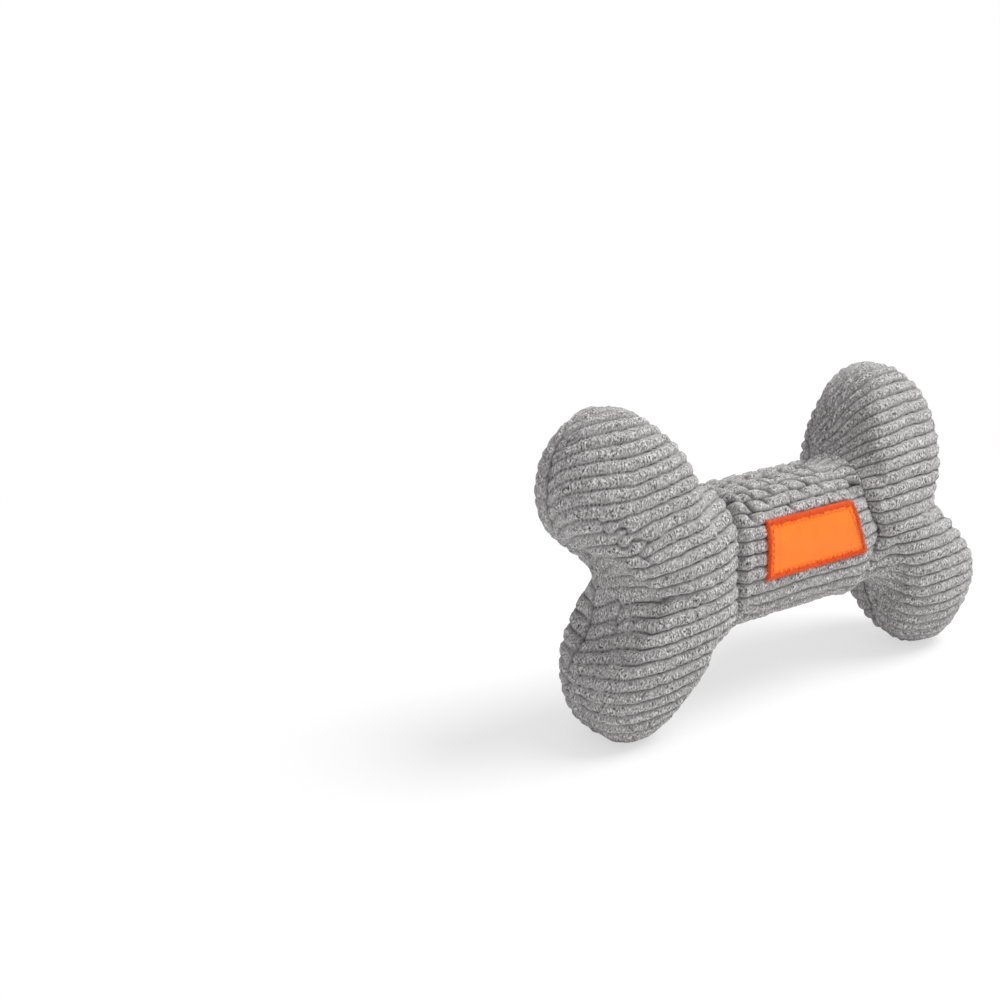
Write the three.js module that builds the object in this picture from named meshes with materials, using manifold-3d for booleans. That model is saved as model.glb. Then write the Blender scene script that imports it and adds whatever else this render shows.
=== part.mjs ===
// A stuffed corduroy bone for a dog, standing on edge on its two lower lobes, with a squeaker in its shaft.
// Millimetres, +Z up, +X along the bone, the label faces -Y, the floor is z = 0.
import * as THREE from "three";
import { mergeVertices } from "three/addons/utils/BufferGeometryUtils.js";
import Module from "manifold-3d";

const wasm = await Module();
wasm.setup();

// Outline of the bone in the seam plane, measured from the shaft's middle and from the shaft's axis
const AXIS_HEIGHT = 67.4;
const SHAFT_HALF_HEIGHT = 29.7;
const LEFT_UPPER_REACH = 91.7;
const LEFT_UPPER_RISE = 42.5;
const LEFT_UPPER_RADIUS = 27.8;
const LEFT_LOWER_REACH = 79.2;
const LEFT_LOWER_RADIUS = 23.9;
const RIGHT_UPPER_REACH = 68.5;
const RIGHT_UPPER_RISE = 43.7;
const RIGHT_UPPER_RADIUS = 24.9;
const RIGHT_LOWER_REACH = 99.3;
const RIGHT_LOWER_RADIUS = 25.6;
const LEFT_NOTCH_RADIUS = 28.9;
const RIGHT_NOTCH_RADIUS = 60.8;
const LEFT_WAIST_FILLET = 33.9;
const RIGHT_WAIST_FILLET = 15.5;

// Swell of the stuffed form, front and back of the seam plane
const SHAFT_HALF_DEPTH = 22.5;
const HEAD_HALF_DEPTH = 25;
const SWELL_START = 26;
const SWELL_END = 61;
const END_ROUNDING = 18;
const SECTION_POWER = 2.6;
const FOOT_SECTION_POWER = 3.2;
const LEFT_WAIST_REACH = 38;
const RIGHT_WAIST_REACH = 43;
const TOP_WAIST_SETBACK = 38.5;
const CREASE_DEPTH = 2.4;
const CREASE_WIDTH = 5;
const FOOT_CUT = 0.5;
const RIGHT_HEAD_TWIST = 7;
const TWIST_START = 30;
const TWIST_END = 72;

// Cover and thread
const FABRIC = 1.6;
const CLEARANCE = 0.3;
const SEAM_GAP = 0.3;
const THREAD_RADIUS = 0.5;
const THREAD_CLEARANCE = 0.5;
const THREAD_ROOM = 0.9;
const CLOSING_LENGTH = 44;
const CLOSING_SWING = 1.2;
const CLOSING_PITCH = 4.4;

// Label on the front of the shaft
const LABEL_WIDTH = 56;
const LABEL_HEIGHT = 23.4;
const LABEL_SHIFT = 3.2;
const LABEL_RAISE = 6;
const LABEL_LEAN = 4.5;
const LABEL_THICKNESS = 0.8;
const BORDER_WIDTH = 2.2;
const BORDER_THICKNESS = 0.6;
const STITCH_INSET = 0.8;
const STITCH_WIDTH = 0.7;

// Squeaker: a flattened bulb whose neck points along +X and holds the reed whistle
const BULB_RADIUS = 22;
const BULB_HALF_DEPTH = 12;
const BULB_WALL = 1;
const NECK_LENGTH = 6.5;
const NECK_OUTER_RADIUS = 6.4;
const NECK_BORE_RADIUS = 5;
const BARREL_LENGTH = 9.5;
const BARREL_BORE_RADIUS = 3.6;
const FLANGE_THICKNESS = 1.4;
const REED_LENGTH = 8;
const REED_WIDTH = 3.2;
const REED_THICKNESS = 0.3;
const REED_ROOT = 2;
const CLAMP_LENGTH = 3;
const CHANNEL_WIDTH = 2.2;
const CHANNEL_DEPTH = 1.6;
const CHANNEL_WALL = 1.2;

// Pads of stuffing that the hand pushes against the bulb
const PAD_RADIUS = 17.5;
const PRESS_TRAVEL = 8;
const PAD_PARTING = 1.2;
const FILL_CLEARANCE = 0.6;

// Facets of the soft forms
const HEAD_ROWS = 18;
const SHAFT_ROWS = 12;
const ROWS = 2 * HEAD_ROWS + SHAFT_ROWS;
const OUTLINE_STEPS = 600;
const COLUMNS = 6;
const SEAM_CROWDING = 1.5;
const RING_SIDES = 32;

// A twisted lobe's section meets the floor beside its seam: the extra depth it gains there
const twistAngle = THREE.MathUtils.degToRad(RIGHT_HEAD_TWIST);
const lean = Math.abs(Math.tan(twistAngle));
const contactShare = ((HEAD_HALF_DEPTH / AXIS_HEIGHT) * lean) ** (1 / (FOOT_SECTION_POWER - 1));
const contactRise = (AXIS_HEIGHT / FOOT_SECTION_POWER) * contactShare ** FOOT_SECTION_POWER;
const contactGain = contactShare * HEAD_HALF_DEPTH * lean - contactRise;
const rightFootDrop = (AXIS_HEIGHT + FOOT_CUT) / Math.cos(twistAngle) - contactGain;

const lobes = {
  leftUpper: {
    centre: new THREE.Vector2(-LEFT_UPPER_REACH, AXIS_HEIGHT + LEFT_UPPER_RISE),
    radius: LEFT_UPPER_RADIUS,
    fillet: LEFT_WAIST_FILLET,
  },
  leftLower: {
    centre: new THREE.Vector2(-LEFT_LOWER_REACH, LEFT_LOWER_RADIUS - FOOT_CUT),
    radius: LEFT_LOWER_RADIUS,
    fillet: LEFT_WAIST_FILLET,
  },
  rightUpper: {
    centre: new THREE.Vector2(RIGHT_UPPER_REACH, AXIS_HEIGHT + RIGHT_UPPER_RISE),
    radius: RIGHT_UPPER_RADIUS,
    fillet: RIGHT_WAIST_FILLET,
  },
  rightLower: {
    centre: new THREE.Vector2(RIGHT_LOWER_REACH, AXIS_HEIGHT - rightFootDrop + RIGHT_LOWER_RADIUS),
    radius: RIGHT_LOWER_RADIUS,
    fillet: RIGHT_WAIST_FILLET,
  },
};

// The bone's two ends
const leftTip = Math.min(-LEFT_UPPER_REACH - LEFT_UPPER_RADIUS, -LEFT_LOWER_REACH - LEFT_LOWER_RADIUS);
const rightTip = Math.max(RIGHT_UPPER_REACH + RIGHT_UPPER_RADIUS, RIGHT_LOWER_REACH + RIGHT_LOWER_RADIUS);

const angleTo = (from, to) => Math.atan2(to.y - from.y, to.x - from.x);

// The circle outside an end that touches both of its lobes, and the notch's deepest point on it
function notchOf(upper, lower, radius, outward) {
  const span = upper.centre.distanceTo(lower.centre);
  const reachUpper = upper.radius + radius;
  const reachLower = lower.radius + radius;
  const along = (reachUpper ** 2 - reachLower ** 2 + span ** 2) / (2 * span);
  const aside = Math.sqrt(reachUpper ** 2 - along ** 2);
  const down = lower.centre.clone().sub(upper.centre).normalize();
  const out = new THREE.Vector2(-down.y, down.x).multiplyScalar(outward);
  const centre = upper.centre.clone().addScaledVector(down, along).addScaledVector(out, aside);
  return { centre, radius, out };
}

const leftNotch = notchOf(lobes.leftUpper, lobes.leftLower, LEFT_NOTCH_RADIUS, -1);
const rightNotch = notchOf(lobes.rightUpper, lobes.rightLower, RIGHT_NOTCH_RADIUS, 1);

const poleOf = (notch, inset) => notch.centre.clone().addScaledVector(notch.out, -notch.radius - inset);

// The circle between a lobe and the shaft's edge that touches both
function filletOf(lobe, half, inset) {
  const centreHeight = AXIS_HEIGHT + half * (SHAFT_HALF_HEIGHT + lobe.fillet);
  const rise = centreHeight - lobe.centre.y;
  const run = Math.sqrt((lobe.radius + lobe.fillet) ** 2 - rise ** 2);
  const centre = new THREE.Vector2(lobe.centre.x - Math.sign(lobe.centre.x) * run, centreHeight);
  return { centre, radius: lobe.fillet + inset };
}

// The seam line from the right notch to the left one, over the top (half 1) or under the bottom (half -1)
function seamEdge(half, inset) {
  const right = half > 0 ? lobes.rightUpper : lobes.rightLower;
  const left = half > 0 ? lobes.leftUpper : lobes.leftLower;
  const rightFillet = filletOf(right, half, inset);
  const leftFillet = filletOf(left, half, inset);
  const inward = half > 0;
  const shaftSide = -half * Math.PI / 2;
  const path = new THREE.Path();
  const arc = (circle, radius, start, end, clockwise) =>
    path.absarc(circle.x, circle.y, radius, start, end, clockwise);
  const rightPole = poleOf(rightNotch, inset);
  const leftPole = poleOf(leftNotch, inset);
  arc(
    rightNotch.centre,
    rightNotch.radius + inset,
    angleTo(rightNotch.centre, rightPole),
    angleTo(rightNotch.centre, right.centre),
    inward,
  );
  arc(
    right.centre,
    right.radius - inset,
    angleTo(right.centre, rightNotch.centre),
    angleTo(right.centre, rightFillet.centre),
    !inward,
  );
  arc(
    rightFillet.centre,
    rightFillet.radius,
    angleTo(rightFillet.centre, right.centre),
    shaftSide,
    inward,
  );
  arc(
    leftFillet.centre,
    leftFillet.radius,
    shaftSide,
    angleTo(leftFillet.centre, left.centre),
    inward,
  );
  arc(
    left.centre,
    left.radius - inset,
    angleTo(left.centre, leftFillet.centre),
    angleTo(left.centre, leftNotch.centre),
    !inward,
  );
  arc(
    leftNotch.centre,
    leftNotch.radius + inset,
    angleTo(leftNotch.centre, left.centre),
    angleTo(leftNotch.centre, leftPole),
    inward,
  );
  return path;
}

// A line of points cut into equal steps
const spaced = (points, steps) => new THREE.Path(points).getSpacedPoints(steps);

// The point where the seam line crosses a waist's plane
function crossing(points, x) {
  const k = points.findIndex((p) => p.x < x);
  const share = (points[k - 1].x - x) / (points[k - 1].x - points[k].x);
  return points[k - 1].clone().lerp(points[k], share);
}

// The seam line's end of each row: the right head's rows, the shaft's between the waists, the left head's
function seamRows(half, inset) {
  const fine = spaced(seamEdge(half, inset).getPoints(OUTLINE_STEPS / 6), OUTLINE_STEPS);
  const rightReach = half > 0 ? RIGHT_UPPER_REACH - TOP_WAIST_SETBACK : RIGHT_WAIST_REACH;
  const rightWaist = crossing(fine, rightReach);
  const leftWaist = crossing(fine, -LEFT_WAIST_REACH);
  const rightHead = spaced([...fine.filter((p) => p.x > rightReach), rightWaist], HEAD_ROWS);
  const onShaft = fine.filter((p) => p.x < rightReach && p.x > -LEFT_WAIST_REACH);
  const shaft = spaced([rightWaist, ...onShaft, leftWaist], SHAFT_ROWS);
  const leftHead = spaced([leftWaist, ...fine.filter((p) => p.x < -LEFT_WAIST_REACH)], HEAD_ROWS);
  return [...rightHead.slice(0, -1), ...shaft, ...leftHead.slice(1)];
}

// The middle line's point of each row
function middleRows(rightPole, leftPole) {
  const rightWaist = new THREE.Vector2(RIGHT_WAIST_REACH, AXIS_HEIGHT);
  const leftWaist = new THREE.Vector2(-LEFT_WAIST_REACH, AXIS_HEIGHT);
  const rightHead = spaced([rightPole, rightWaist], HEAD_ROWS);
  const shaft = spaced([rightWaist, leftWaist], SHAFT_ROWS);
  const leftHead = spaced([leftWaist, leftPole], HEAD_ROWS);
  return [...rightHead.slice(0, -1), ...shaft, ...leftHead.slice(1)];
}

const swellAt = (x) => THREE.MathUtils.smoothstep(Math.abs(x), SWELL_START, SWELL_END);

// Half the form's thickness over the middle line: shaft to head, drawn in at the waists, round at the ends
function halfDepth(x, fromEnd, inset) {
  const waist = x > 0 ? RIGHT_WAIST_REACH : -LEFT_WAIST_REACH;
  const crease = Math.exp(-(((x - waist) / CREASE_WIDTH) ** 2));
  const swollen = THREE.MathUtils.lerp(SHAFT_HALF_DEPTH, HEAD_HALF_DEPTH, swellAt(x));
  const full = swollen - CREASE_DEPTH * crease - inset;
  const round = Math.min(1, fromEnd / (END_ROUNDING - inset));
  return full * Math.sqrt(1 - (1 - round) ** 2);
}

// The right head is turned about the shaft's axis, its upper lobe to the back
function twisted(point) {
  const angle = twistAngle * THREE.MathUtils.smoothstep(point.x, TWIST_START, TWIST_END);
  const rise = point.z - AXIS_HEIGHT;
  const y = point.y * Math.cos(angle) + rise * Math.sin(angle);
  const z = rise * Math.cos(angle) - point.y * Math.sin(angle) + AXIS_HEIGHT;
  return new THREE.Vector3(point.x, y, z);
}

// One face of the stuffed form as rows of points: side -1 is the front, 1 the back.
// Each row fans from the middle line out to the seam on a superellipse.
function face(side, planeInset, depthInset, gap) {
  const top = seamRows(1, planeInset);
  const bottom = seamRows(-1, planeInset);
  const rightPole = poleOf(rightNotch, planeInset);
  const leftPole = poleOf(leftNotch, planeInset);
  const middles = middleRows(rightPole, leftPole);
  const rows = [];
  for (let i = 0; i <= ROWS; i++) {
    const middle = middles[i];
    const fromEnd = Math.min(middle.distanceTo(rightPole), middle.distanceTo(leftPole));
    const depth = halfDepth(middle.x, fromEnd, depthInset);
    const footPower = THREE.MathUtils.lerp(SECTION_POWER, FOOT_SECTION_POWER, swellAt(middle.x));
    const row = [];
    for (let j = -COLUMNS; j <= COLUMNS; j++) {
      const share = Math.abs(j) / COLUMNS;
      const turn = (Math.PI / 2) * (1 - (1 - share) ** SEAM_CROWDING);
      const power = j < 0 ? footPower : SECTION_POWER;
      const spread = Math.sin(turn) ** (2 / power);
      const height = share === 1 ? 0 : Math.cos(turn) ** (2 / power);
      const end = i === 0 ? rightPole : i === ROWS ? leftPole : j < 0 ? bottom[i] : top[i];
      const at = middle.clone().lerp(end, spread);
      row.push(twisted(new THREE.Vector3(at.x, side * (depth * height + gap), at.y)));
    }
    rows.push(row);
  }
  return rows;
}

// A geometry from loose triangles, without those that have shrunk to a line
function geometryOfTriangles(triangles) {
  const points = triangles
    .filter(([a, b, c]) => a.distanceTo(b) > 1e-4 && b.distanceTo(c) > 1e-4 && c.distanceTo(a) > 1e-4)
    .flat();
  return new THREE.BufferGeometry().setFromPoints(points);
}

// The closed body between two faces with the same rows and columns
function between(outer, inner) {
  const triangles = [];
  const quad = (a, b, c, d) => triangles.push([a, b, c], [a, c, d]);
  const last = 2 * COLUMNS;
  for (let i = 0; i < ROWS; i++) {
    for (let j = 0; j < last; j++) {
      quad(outer[i][j], outer[i][j + 1], outer[i + 1][j + 1], outer[i + 1][j]);
      quad(inner[i][j], inner[i + 1][j], inner[i + 1][j + 1], inner[i][j + 1]);
    }
    quad(outer[i][0], outer[i + 1][0], inner[i + 1][0], inner[i][0]);
    quad(outer[i][last], inner[i][last], inner[i + 1][last], outer[i + 1][last]);
  }
  return geometryOfTriangles(triangles);
}

function solid(geometry) {
  const bare = geometry.clone();
  bare.deleteAttribute("normal");
  bare.deleteAttribute("uv");
  const merged = mergeVertices(bare, 1e-4);
  const triVerts = new Uint32Array(merged.index.array);
  const vertProperties = new Float32Array(merged.attributes.position.array);
  const made = new wasm.Manifold(new wasm.Mesh({ numProp: 3, vertProperties, triVerts }));
  if (made.volume() > 0) {
    return made;
  }
  for (let i = 0; i < triVerts.length; i += 3) {
    [triVerts[i + 1], triVerts[i + 2]] = [triVerts[i + 2], triVerts[i + 1]];
  }
  return new wasm.Manifold(new wasm.Mesh({ numProp: 3, vertProperties, triVerts }));
}

function geometryOf(body) {
  const mesh = body.getMesh();
  const geometry = new THREE.BufferGeometry();
  geometry.setAttribute("position", new THREE.BufferAttribute(new Float32Array(mesh.vertProperties), 3));
  geometry.setIndex(new THREE.BufferAttribute(new Uint32Array(mesh.triVerts), 1));
  geometry.computeVertexNormals();
  return geometry;
}

function box(x0, x1, y0, y1, z0, z1) {
  const geometry = new THREE.BoxGeometry(x1 - x0, y1 - y0, z1 - z0);
  return solid(geometry.translate((x0 + x1) / 2, (y0 + y1) / 2, (z0 + z1) / 2));
}

// A round bar along X on the shaft's axis
function barX(radius, x0, x1) {
  const geometry = new THREE.CylinderGeometry(radius, radius, x1 - x0, RING_SIDES);
  return solid(geometry.rotateZ(Math.PI / 2).translate((x0 + x1) / 2, 0, AXIS_HEIGHT));
}

// A round bar along Y through the shaft's middle
function barY(radius, y0, y1) {
  const geometry = new THREE.CylinderGeometry(radius, radius, y1 - y0, RING_SIDES);
  return solid(geometry.translate(0, (y0 + y1) / 2, AXIS_HEIGHT));
}

function flattenedBall(radius, halfDepthOfBall) {
  const geometry = new THREE.SphereGeometry(1, RING_SIDES, RING_SIDES / 2);
  return solid(geometry.scale(radius, halfDepthOfBall, radius).translate(0, 0, AXIS_HEIGHT));
}

const FAR = 4 * (rightTip - leftTip);
const belowFloor = box(-FAR, FAR, -FAR, FAR, -FAR, 0);
const pillow = (planeInset, depthInset) =>
  solid(between(face(-1, planeInset, depthInset, 0), face(1, planeInset, depthInset, 0)));

// Cover: a front and a back panel cut from one piece each and sewn round the outline
function panel(side) {
  const outer = face(side, 0, 0, SEAM_GAP / 2);
  const inner = face(side, FABRIC, FABRIC, SEAM_GAP / 2);
  return solid(between(outer, inner)).subtract(belowFloor);
}
const frontPanel = panel(-1);
const backPanel = panel(1);

// Thread of the outline seam, lying along the inside of the seam and broken at the hand-closed opening
const threadInset = FABRIC + THREAD_CLEARANCE + THREAD_RADIUS;
const threadRing = new THREE.Shape().absarc(0, 0, THREAD_RADIUS, 0, 2 * Math.PI, false);
function thread(points, steps) {
  const extrudePath = new THREE.CatmullRomCurve3(points, false, "centripetal");
  const options = { steps, extrudePath, bevelEnabled: false, curveSegments: 3 };
  return solid(new THREE.ExtrudeGeometry(threadRing, options));
}
const inPlane = (p) => twisted(new THREE.Vector3(p.x, 0, p.y));
const threadTop = seamEdge(1, threadInset).getSpacedPoints(2 * ROWS);
const threadBottom = seamEdge(-1, threadInset).getSpacedPoints(2 * ROWS);
const closingEnd = CLOSING_LENGTH / 2 + CLEARANCE + 2 * THREAD_RADIUS;
const onShaft = (p) => Math.abs(p.x) < closingEnd;
const topRight = threadTop.filter((p) => p.x > 0 && !onShaft(p)).reverse();
const topLeft = threadTop.filter((p) => p.x < 0 && !onShaft(p)).reverse();
const seamPoints = [...topRight, ...threadBottom.slice(1, -1), ...topLeft].map(inPlane);
const seamThread = thread(seamPoints, 2 * ROWS);

// Hand stitches that close the opening on top of the shaft, swinging from one panel's edge to the other's
const closingTurns = Math.round(CLOSING_LENGTH / CLOSING_PITCH);
const closingHeight = AXIS_HEIGHT + SHAFT_HALF_HEIGHT - threadInset;
const closingPoints = Array.from({ length: 2 * closingTurns + 1 }, (_, k) =>
  new THREE.Vector3(
    CLOSING_LENGTH * (k / (2 * closingTurns) - 0.5),
    k % 2 ? CLOSING_SWING : -CLOSING_SWING,
    closingHeight,
  ));
const closingThread = thread(closingPoints, 6 * closingTurns);

// Label, its overlocked border and the line of stitches that holds it on the front panel
const labelLift = SEAM_GAP / 2 + CLEARANCE;
const borderLift = labelLift + LABEL_THICKNESS + CLEARANCE;
const grown = (lift) => pillow(-lift, -lift);
const frontSkin = (lift, thickness) => grown(lift + thickness).subtract(grown(lift));
// Everything in front of the label's outline, whose right edge leans with the right waist
function labelBlock(inset) {
  const left = LABEL_SHIFT - LABEL_WIDTH / 2 + inset;
  const right = LABEL_SHIFT + LABEL_WIDTH / 2 - inset;
  const low = LABEL_RAISE - LABEL_HEIGHT / 2 + inset;
  const high = LABEL_RAISE + LABEL_HEIGHT / 2 - inset;
  const outline = new THREE.Shape([
    new THREE.Vector2(left, low),
    new THREE.Vector2(right + LABEL_LEAN, low),
    new THREE.Vector2(right - LABEL_LEAN, high),
    new THREE.Vector2(left, high),
  ]);
  const geometry = new THREE.ExtrudeGeometry(outline, { depth: FAR, bevelEnabled: false });
  return solid(geometry.rotateX(Math.PI / 2).translate(0, 0, AXIS_HEIGHT));
}
const labelFrame = (inset, width) => labelBlock(inset).subtract(labelBlock(inset + width));
const labelPatch = frontSkin(labelLift, LABEL_THICKNESS).intersect(labelBlock(0));
const borderSkin = frontSkin(borderLift, BORDER_THICKNESS);
const labelBorder = borderSkin.intersect(labelFrame(0, BORDER_WIDTH));
const labelStitch = borderSkin.intersect(labelFrame(BORDER_WIDTH + STITCH_INSET, STITCH_WIDTH));

// Squeaker bulb: hollow, open through its neck
const neckEnd = BULB_RADIUS + NECK_LENGTH;
const bulbOutside = flattenedBall(BULB_RADIUS, BULB_HALF_DEPTH).add(barX(NECK_OUTER_RADIUS, 0, neckEnd));
const bulbInside = flattenedBall(BULB_RADIUS - BULB_WALL, BULB_HALF_DEPTH - BULB_WALL);
const squeakerBulb = bulbOutside
  .subtract(bulbInside)
  .subtract(barX(NECK_BORE_RADIUS, BULB_RADIUS / 2, neckEnd + CLEARANCE));

// Whistle barrel: a flanged tube pushed into the neck
const flangeStart = neckEnd + CLEARANCE;
const flangeEnd = flangeStart + FLANGE_THICKNESS;
const barrelStart = flangeStart - BARREL_LENGTH;
const whistleBarrel = barX(NECK_BORE_RADIUS - CLEARANCE, barrelStart, flangeEnd)
  .add(barX(NECK_OUTER_RADIUS, flangeStart, flangeEnd))
  .subtract(barX(BARREL_BORE_RADIUS, barrelStart - CLEARANCE, flangeEnd + CLEARANCE));

// Reed block, clamp and reed inside the barrel: the reed lies over the block's air channel, clamped outside
const plugRadius = BARREL_BORE_RADIUS - CLEARANCE;
const blockTop = AXIS_HEIGHT - REED_THICKNESS / 2 - CLEARANCE;
const clampBottom = AXIS_HEIGHT + REED_THICKNESS / 2 + CLEARANCE;
const clampStart = flangeEnd - CLAMP_LENGTH;
const reedEnd = clampStart + REED_ROOT;
const reedStart = reedEnd - REED_LENGTH;
const blockStart = reedStart - CLEARANCE;
const reedBlock = barX(plugRadius, blockStart, flangeEnd)
  .subtract(box(-FAR, FAR, -FAR, FAR, blockTop, FAR))
  .subtract(
    box(
      blockStart + CHANNEL_WALL,
      FAR,
      -CHANNEL_WIDTH / 2,
      CHANNEL_WIDTH / 2,
      blockTop - CHANNEL_DEPTH,
      FAR,
    ),
  );
const belowClamp = box(-FAR, FAR, -FAR, FAR, -FAR, clampBottom);
const reedClamp = barX(plugRadius, clampStart, flangeEnd).subtract(belowClamp);
const reed = box(
  reedStart,
  reedEnd,
  -REED_WIDTH / 2,
  REED_WIDTH / 2,
  AXIS_HEIGHT - REED_THICKNESS / 2,
  AXIS_HEIGHT + REED_THICKNESS / 2,
);

// Stuffing: the form inside the cover, parted at the waists and between each end's two lobes
const fillSeamInset = threadInset + THREAD_RADIUS + THREAD_ROOM;
const fill = pillow(fillSeamInset, FABRIC + FILL_CLEARANCE);
const halfParting = CLEARANCE / 2;
const aboveAxis = AXIS_HEIGHT + halfParting;
const belowAxis = AXIS_HEIGHT - halfParting;
const leftHeadEnd = -LEFT_WAIST_REACH - halfParting;
const rightHeadStart = RIGHT_WAIST_REACH + halfParting;
const leftUpperFill = fill.intersect(box(-FAR, leftHeadEnd, -FAR, FAR, aboveAxis, FAR));
const leftLowerFill = fill.intersect(box(-FAR, leftHeadEnd, -FAR, FAR, -FAR, belowAxis));
const rightUpperFill = fill.intersect(box(rightHeadStart, FAR, -FAR, FAR, aboveAxis, FAR));
const rightLowerFill = fill.intersect(box(rightHeadStart, FAR, -FAR, FAR, -FAR, belowAxis));

// The shaft's stuffing goes round the squeaker, with a pad before and behind it that the press pushes in
const padSeat = PRESS_TRAVEL + PAD_PARTING;
const bulbRoom = flattenedBall(BULB_RADIUS + CLEARANCE, BULB_HALF_DEPTH + CLEARANCE);
const neckRoom = barX(NECK_OUTER_RADIUS + CLEARANCE, 0, flangeEnd + CLEARANCE);
const padRoom = (y0, y1) => barY(PAD_RADIUS + CLEARANCE, y0, y1);
const shaftFill = fill
  .intersect(box(leftHeadEnd + CLEARANCE, rightHeadStart - CLEARANCE, -FAR, FAR, -FAR, FAR))
  .subtract(bulbRoom)
  .subtract(neckRoom)
  .subtract(padRoom(-FAR, CLEARANCE - padSeat))
  .subtract(padRoom(padSeat - CLEARANCE, FAR));
const frontPad = fill.intersect(barY(PAD_RADIUS, -FAR, -padSeat)).subtract(bulbRoom);
const backPad = fill.intersect(barY(PAD_RADIUS, padSeat, FAR)).subtract(bulbRoom);

const material = (color, roughness) => new THREE.MeshStandardMaterial({ color, roughness, metalness: 0 });
const corduroy = material(0x8e8f93, 0.95);
const greyThread = material(0x77787c, 0.85);
const satin = material(0xf27a1f, 0.5);
const orangeThread = material(0xe0481c, 0.7);
const fibre = material(0xf2f1ec, 1);
const bulbPlastic = material(0xe9ebe6, 0.45);
const whistlePlastic = material(0xd8dde2, 0.4);
const reedFilm = material(0xc9cfd6, 0.3);

const bone = new THREE.Group();
const pieces = new THREE.Group();
bone.add(pieces);

function addPiece(name, body, look) {
  const mesh = new THREE.Mesh(geometryOf(body), look);
  mesh.name = name;
  pieces.add(mesh);
}

addPiece("front_panel", frontPanel, corduroy);
addPiece("back_panel", backPanel, corduroy);
addPiece("seam_thread", seamThread, greyThread);
addPiece("closing_thread", closingThread, greyThread);
addPiece("label_patch", labelPatch, satin);
addPiece("label_border", labelBorder, orangeThread);
addPiece("label_stitch", labelStitch, orangeThread);
addPiece("left_upper_fill", leftUpperFill, fibre);
addPiece("left_lower_fill", leftLowerFill, fibre);
addPiece("right_upper_fill", rightUpperFill, fibre);
addPiece("right_lower_fill", rightLowerFill, fibre);
addPiece("shaft_fill", shaftFill, fibre);
addPiece("front_pad", frontPad, fibre);
addPiece("back_pad", backPad, fibre);
addPiece("squeaker_bulb", squeakerBulb, bulbPlastic);
addPiece("whistle_barrel", whistleBarrel, whistlePlastic);
addPiece("reed_block", reedBlock, whistlePlastic);
addPiece("reed_clamp", reedClamp, whistlePlastic);
addPiece("reed", reed, reedFilm);

// The origin lies on the floor under the middle of the bone's box
const middle = new THREE.Box3().setFromObject(pieces).getCenter(new THREE.Vector3());
pieces.position.set(-middle.x, -middle.y, 0);

export default bone;
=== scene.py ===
import math

import bpy
import numpy as np
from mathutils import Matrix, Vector


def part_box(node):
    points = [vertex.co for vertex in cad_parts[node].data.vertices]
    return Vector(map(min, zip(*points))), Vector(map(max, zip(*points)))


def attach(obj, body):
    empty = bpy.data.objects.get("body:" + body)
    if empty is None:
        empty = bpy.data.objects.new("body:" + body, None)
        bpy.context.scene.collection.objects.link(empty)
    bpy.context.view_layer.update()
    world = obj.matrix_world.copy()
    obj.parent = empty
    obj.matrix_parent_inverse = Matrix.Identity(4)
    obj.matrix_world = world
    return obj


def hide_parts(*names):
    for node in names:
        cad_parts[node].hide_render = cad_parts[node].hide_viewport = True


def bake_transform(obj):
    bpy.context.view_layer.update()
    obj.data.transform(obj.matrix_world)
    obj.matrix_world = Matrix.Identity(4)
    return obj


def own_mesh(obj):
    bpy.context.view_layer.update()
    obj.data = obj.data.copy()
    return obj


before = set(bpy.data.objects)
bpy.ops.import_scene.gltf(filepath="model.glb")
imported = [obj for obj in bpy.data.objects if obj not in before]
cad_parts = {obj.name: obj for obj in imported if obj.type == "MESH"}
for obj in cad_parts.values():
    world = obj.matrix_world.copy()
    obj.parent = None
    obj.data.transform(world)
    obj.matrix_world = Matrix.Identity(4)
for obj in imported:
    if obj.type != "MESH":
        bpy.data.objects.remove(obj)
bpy.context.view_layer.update()        # four bodies and nineteen nodes of a stuffed corduroy bone
print("frame loaded:", len(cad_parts), "nodes")

# The stuffed form, as the frame's panels have it: metres from the shaft's middle, heights from the floor
bone = {
    "axis": 0.0674, "shaftHalf": 0.0297, "shaftDepth": 0.0225, "headDepth": 0.025, "swellFrom": 0.026,
    "swellTo": 0.061, "endRounding": 0.018, "power": 2.6, "footPower": 3.2, "waistDip": 0.0024,
    "waistDipWidth": 0.005, "leftWaist": -0.038, "rightWaist": 0.043, "rightWaistTop": 0.030,
    "foldTop": 0.037, "foldMiddle": 0.0465, "foldBottom": 0.042, "foldBowTop": -0.0035,
    "foldBowBottom": -0.0020, "foldBowReach": 0.022, "flankLoss": 1.2, "flankFrom": 0.40,
    "flankTo": 0.70, "footCut": 0.0005, "twist": math.radians(7), "twistFrom": 0.030, "twistTo": 0.072,
    "leftNotch": 0.0289, "rightNotch": 0.0608, "bulbRadius": 0.022,
}
bulbLow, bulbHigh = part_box("squeaker_bulb")
shaftMiddle = np.array([bulbLow.x + bone["bulbRadius"], (bulbLow.y + bulbHigh.y) / 2, 0.0])
shaftCentre = shaftMiddle + np.array([0, 0, bone["axis"]])

# How many points follow a curve, and the share of a path over which its direction is averaged
sampling = {"arc": 120, "ring": 4001, "end": 400, "direction": 0.12}


# The right foot of the turned head meets the floor beside its seam, so its lobe hangs a little lower
def rightFootDrop():
    lean = abs(math.tan(bone["twist"]))
    share = (bone["headDepth"] / bone["axis"] * lean) ** (1 / (bone["footPower"] - 1))
    rise = bone["axis"] / bone["footPower"] * share ** bone["footPower"]
    gain = share * bone["headDepth"] * lean - rise
    return (bone["axis"] + bone["footCut"]) / math.cos(bone["twist"]) - gain


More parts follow.
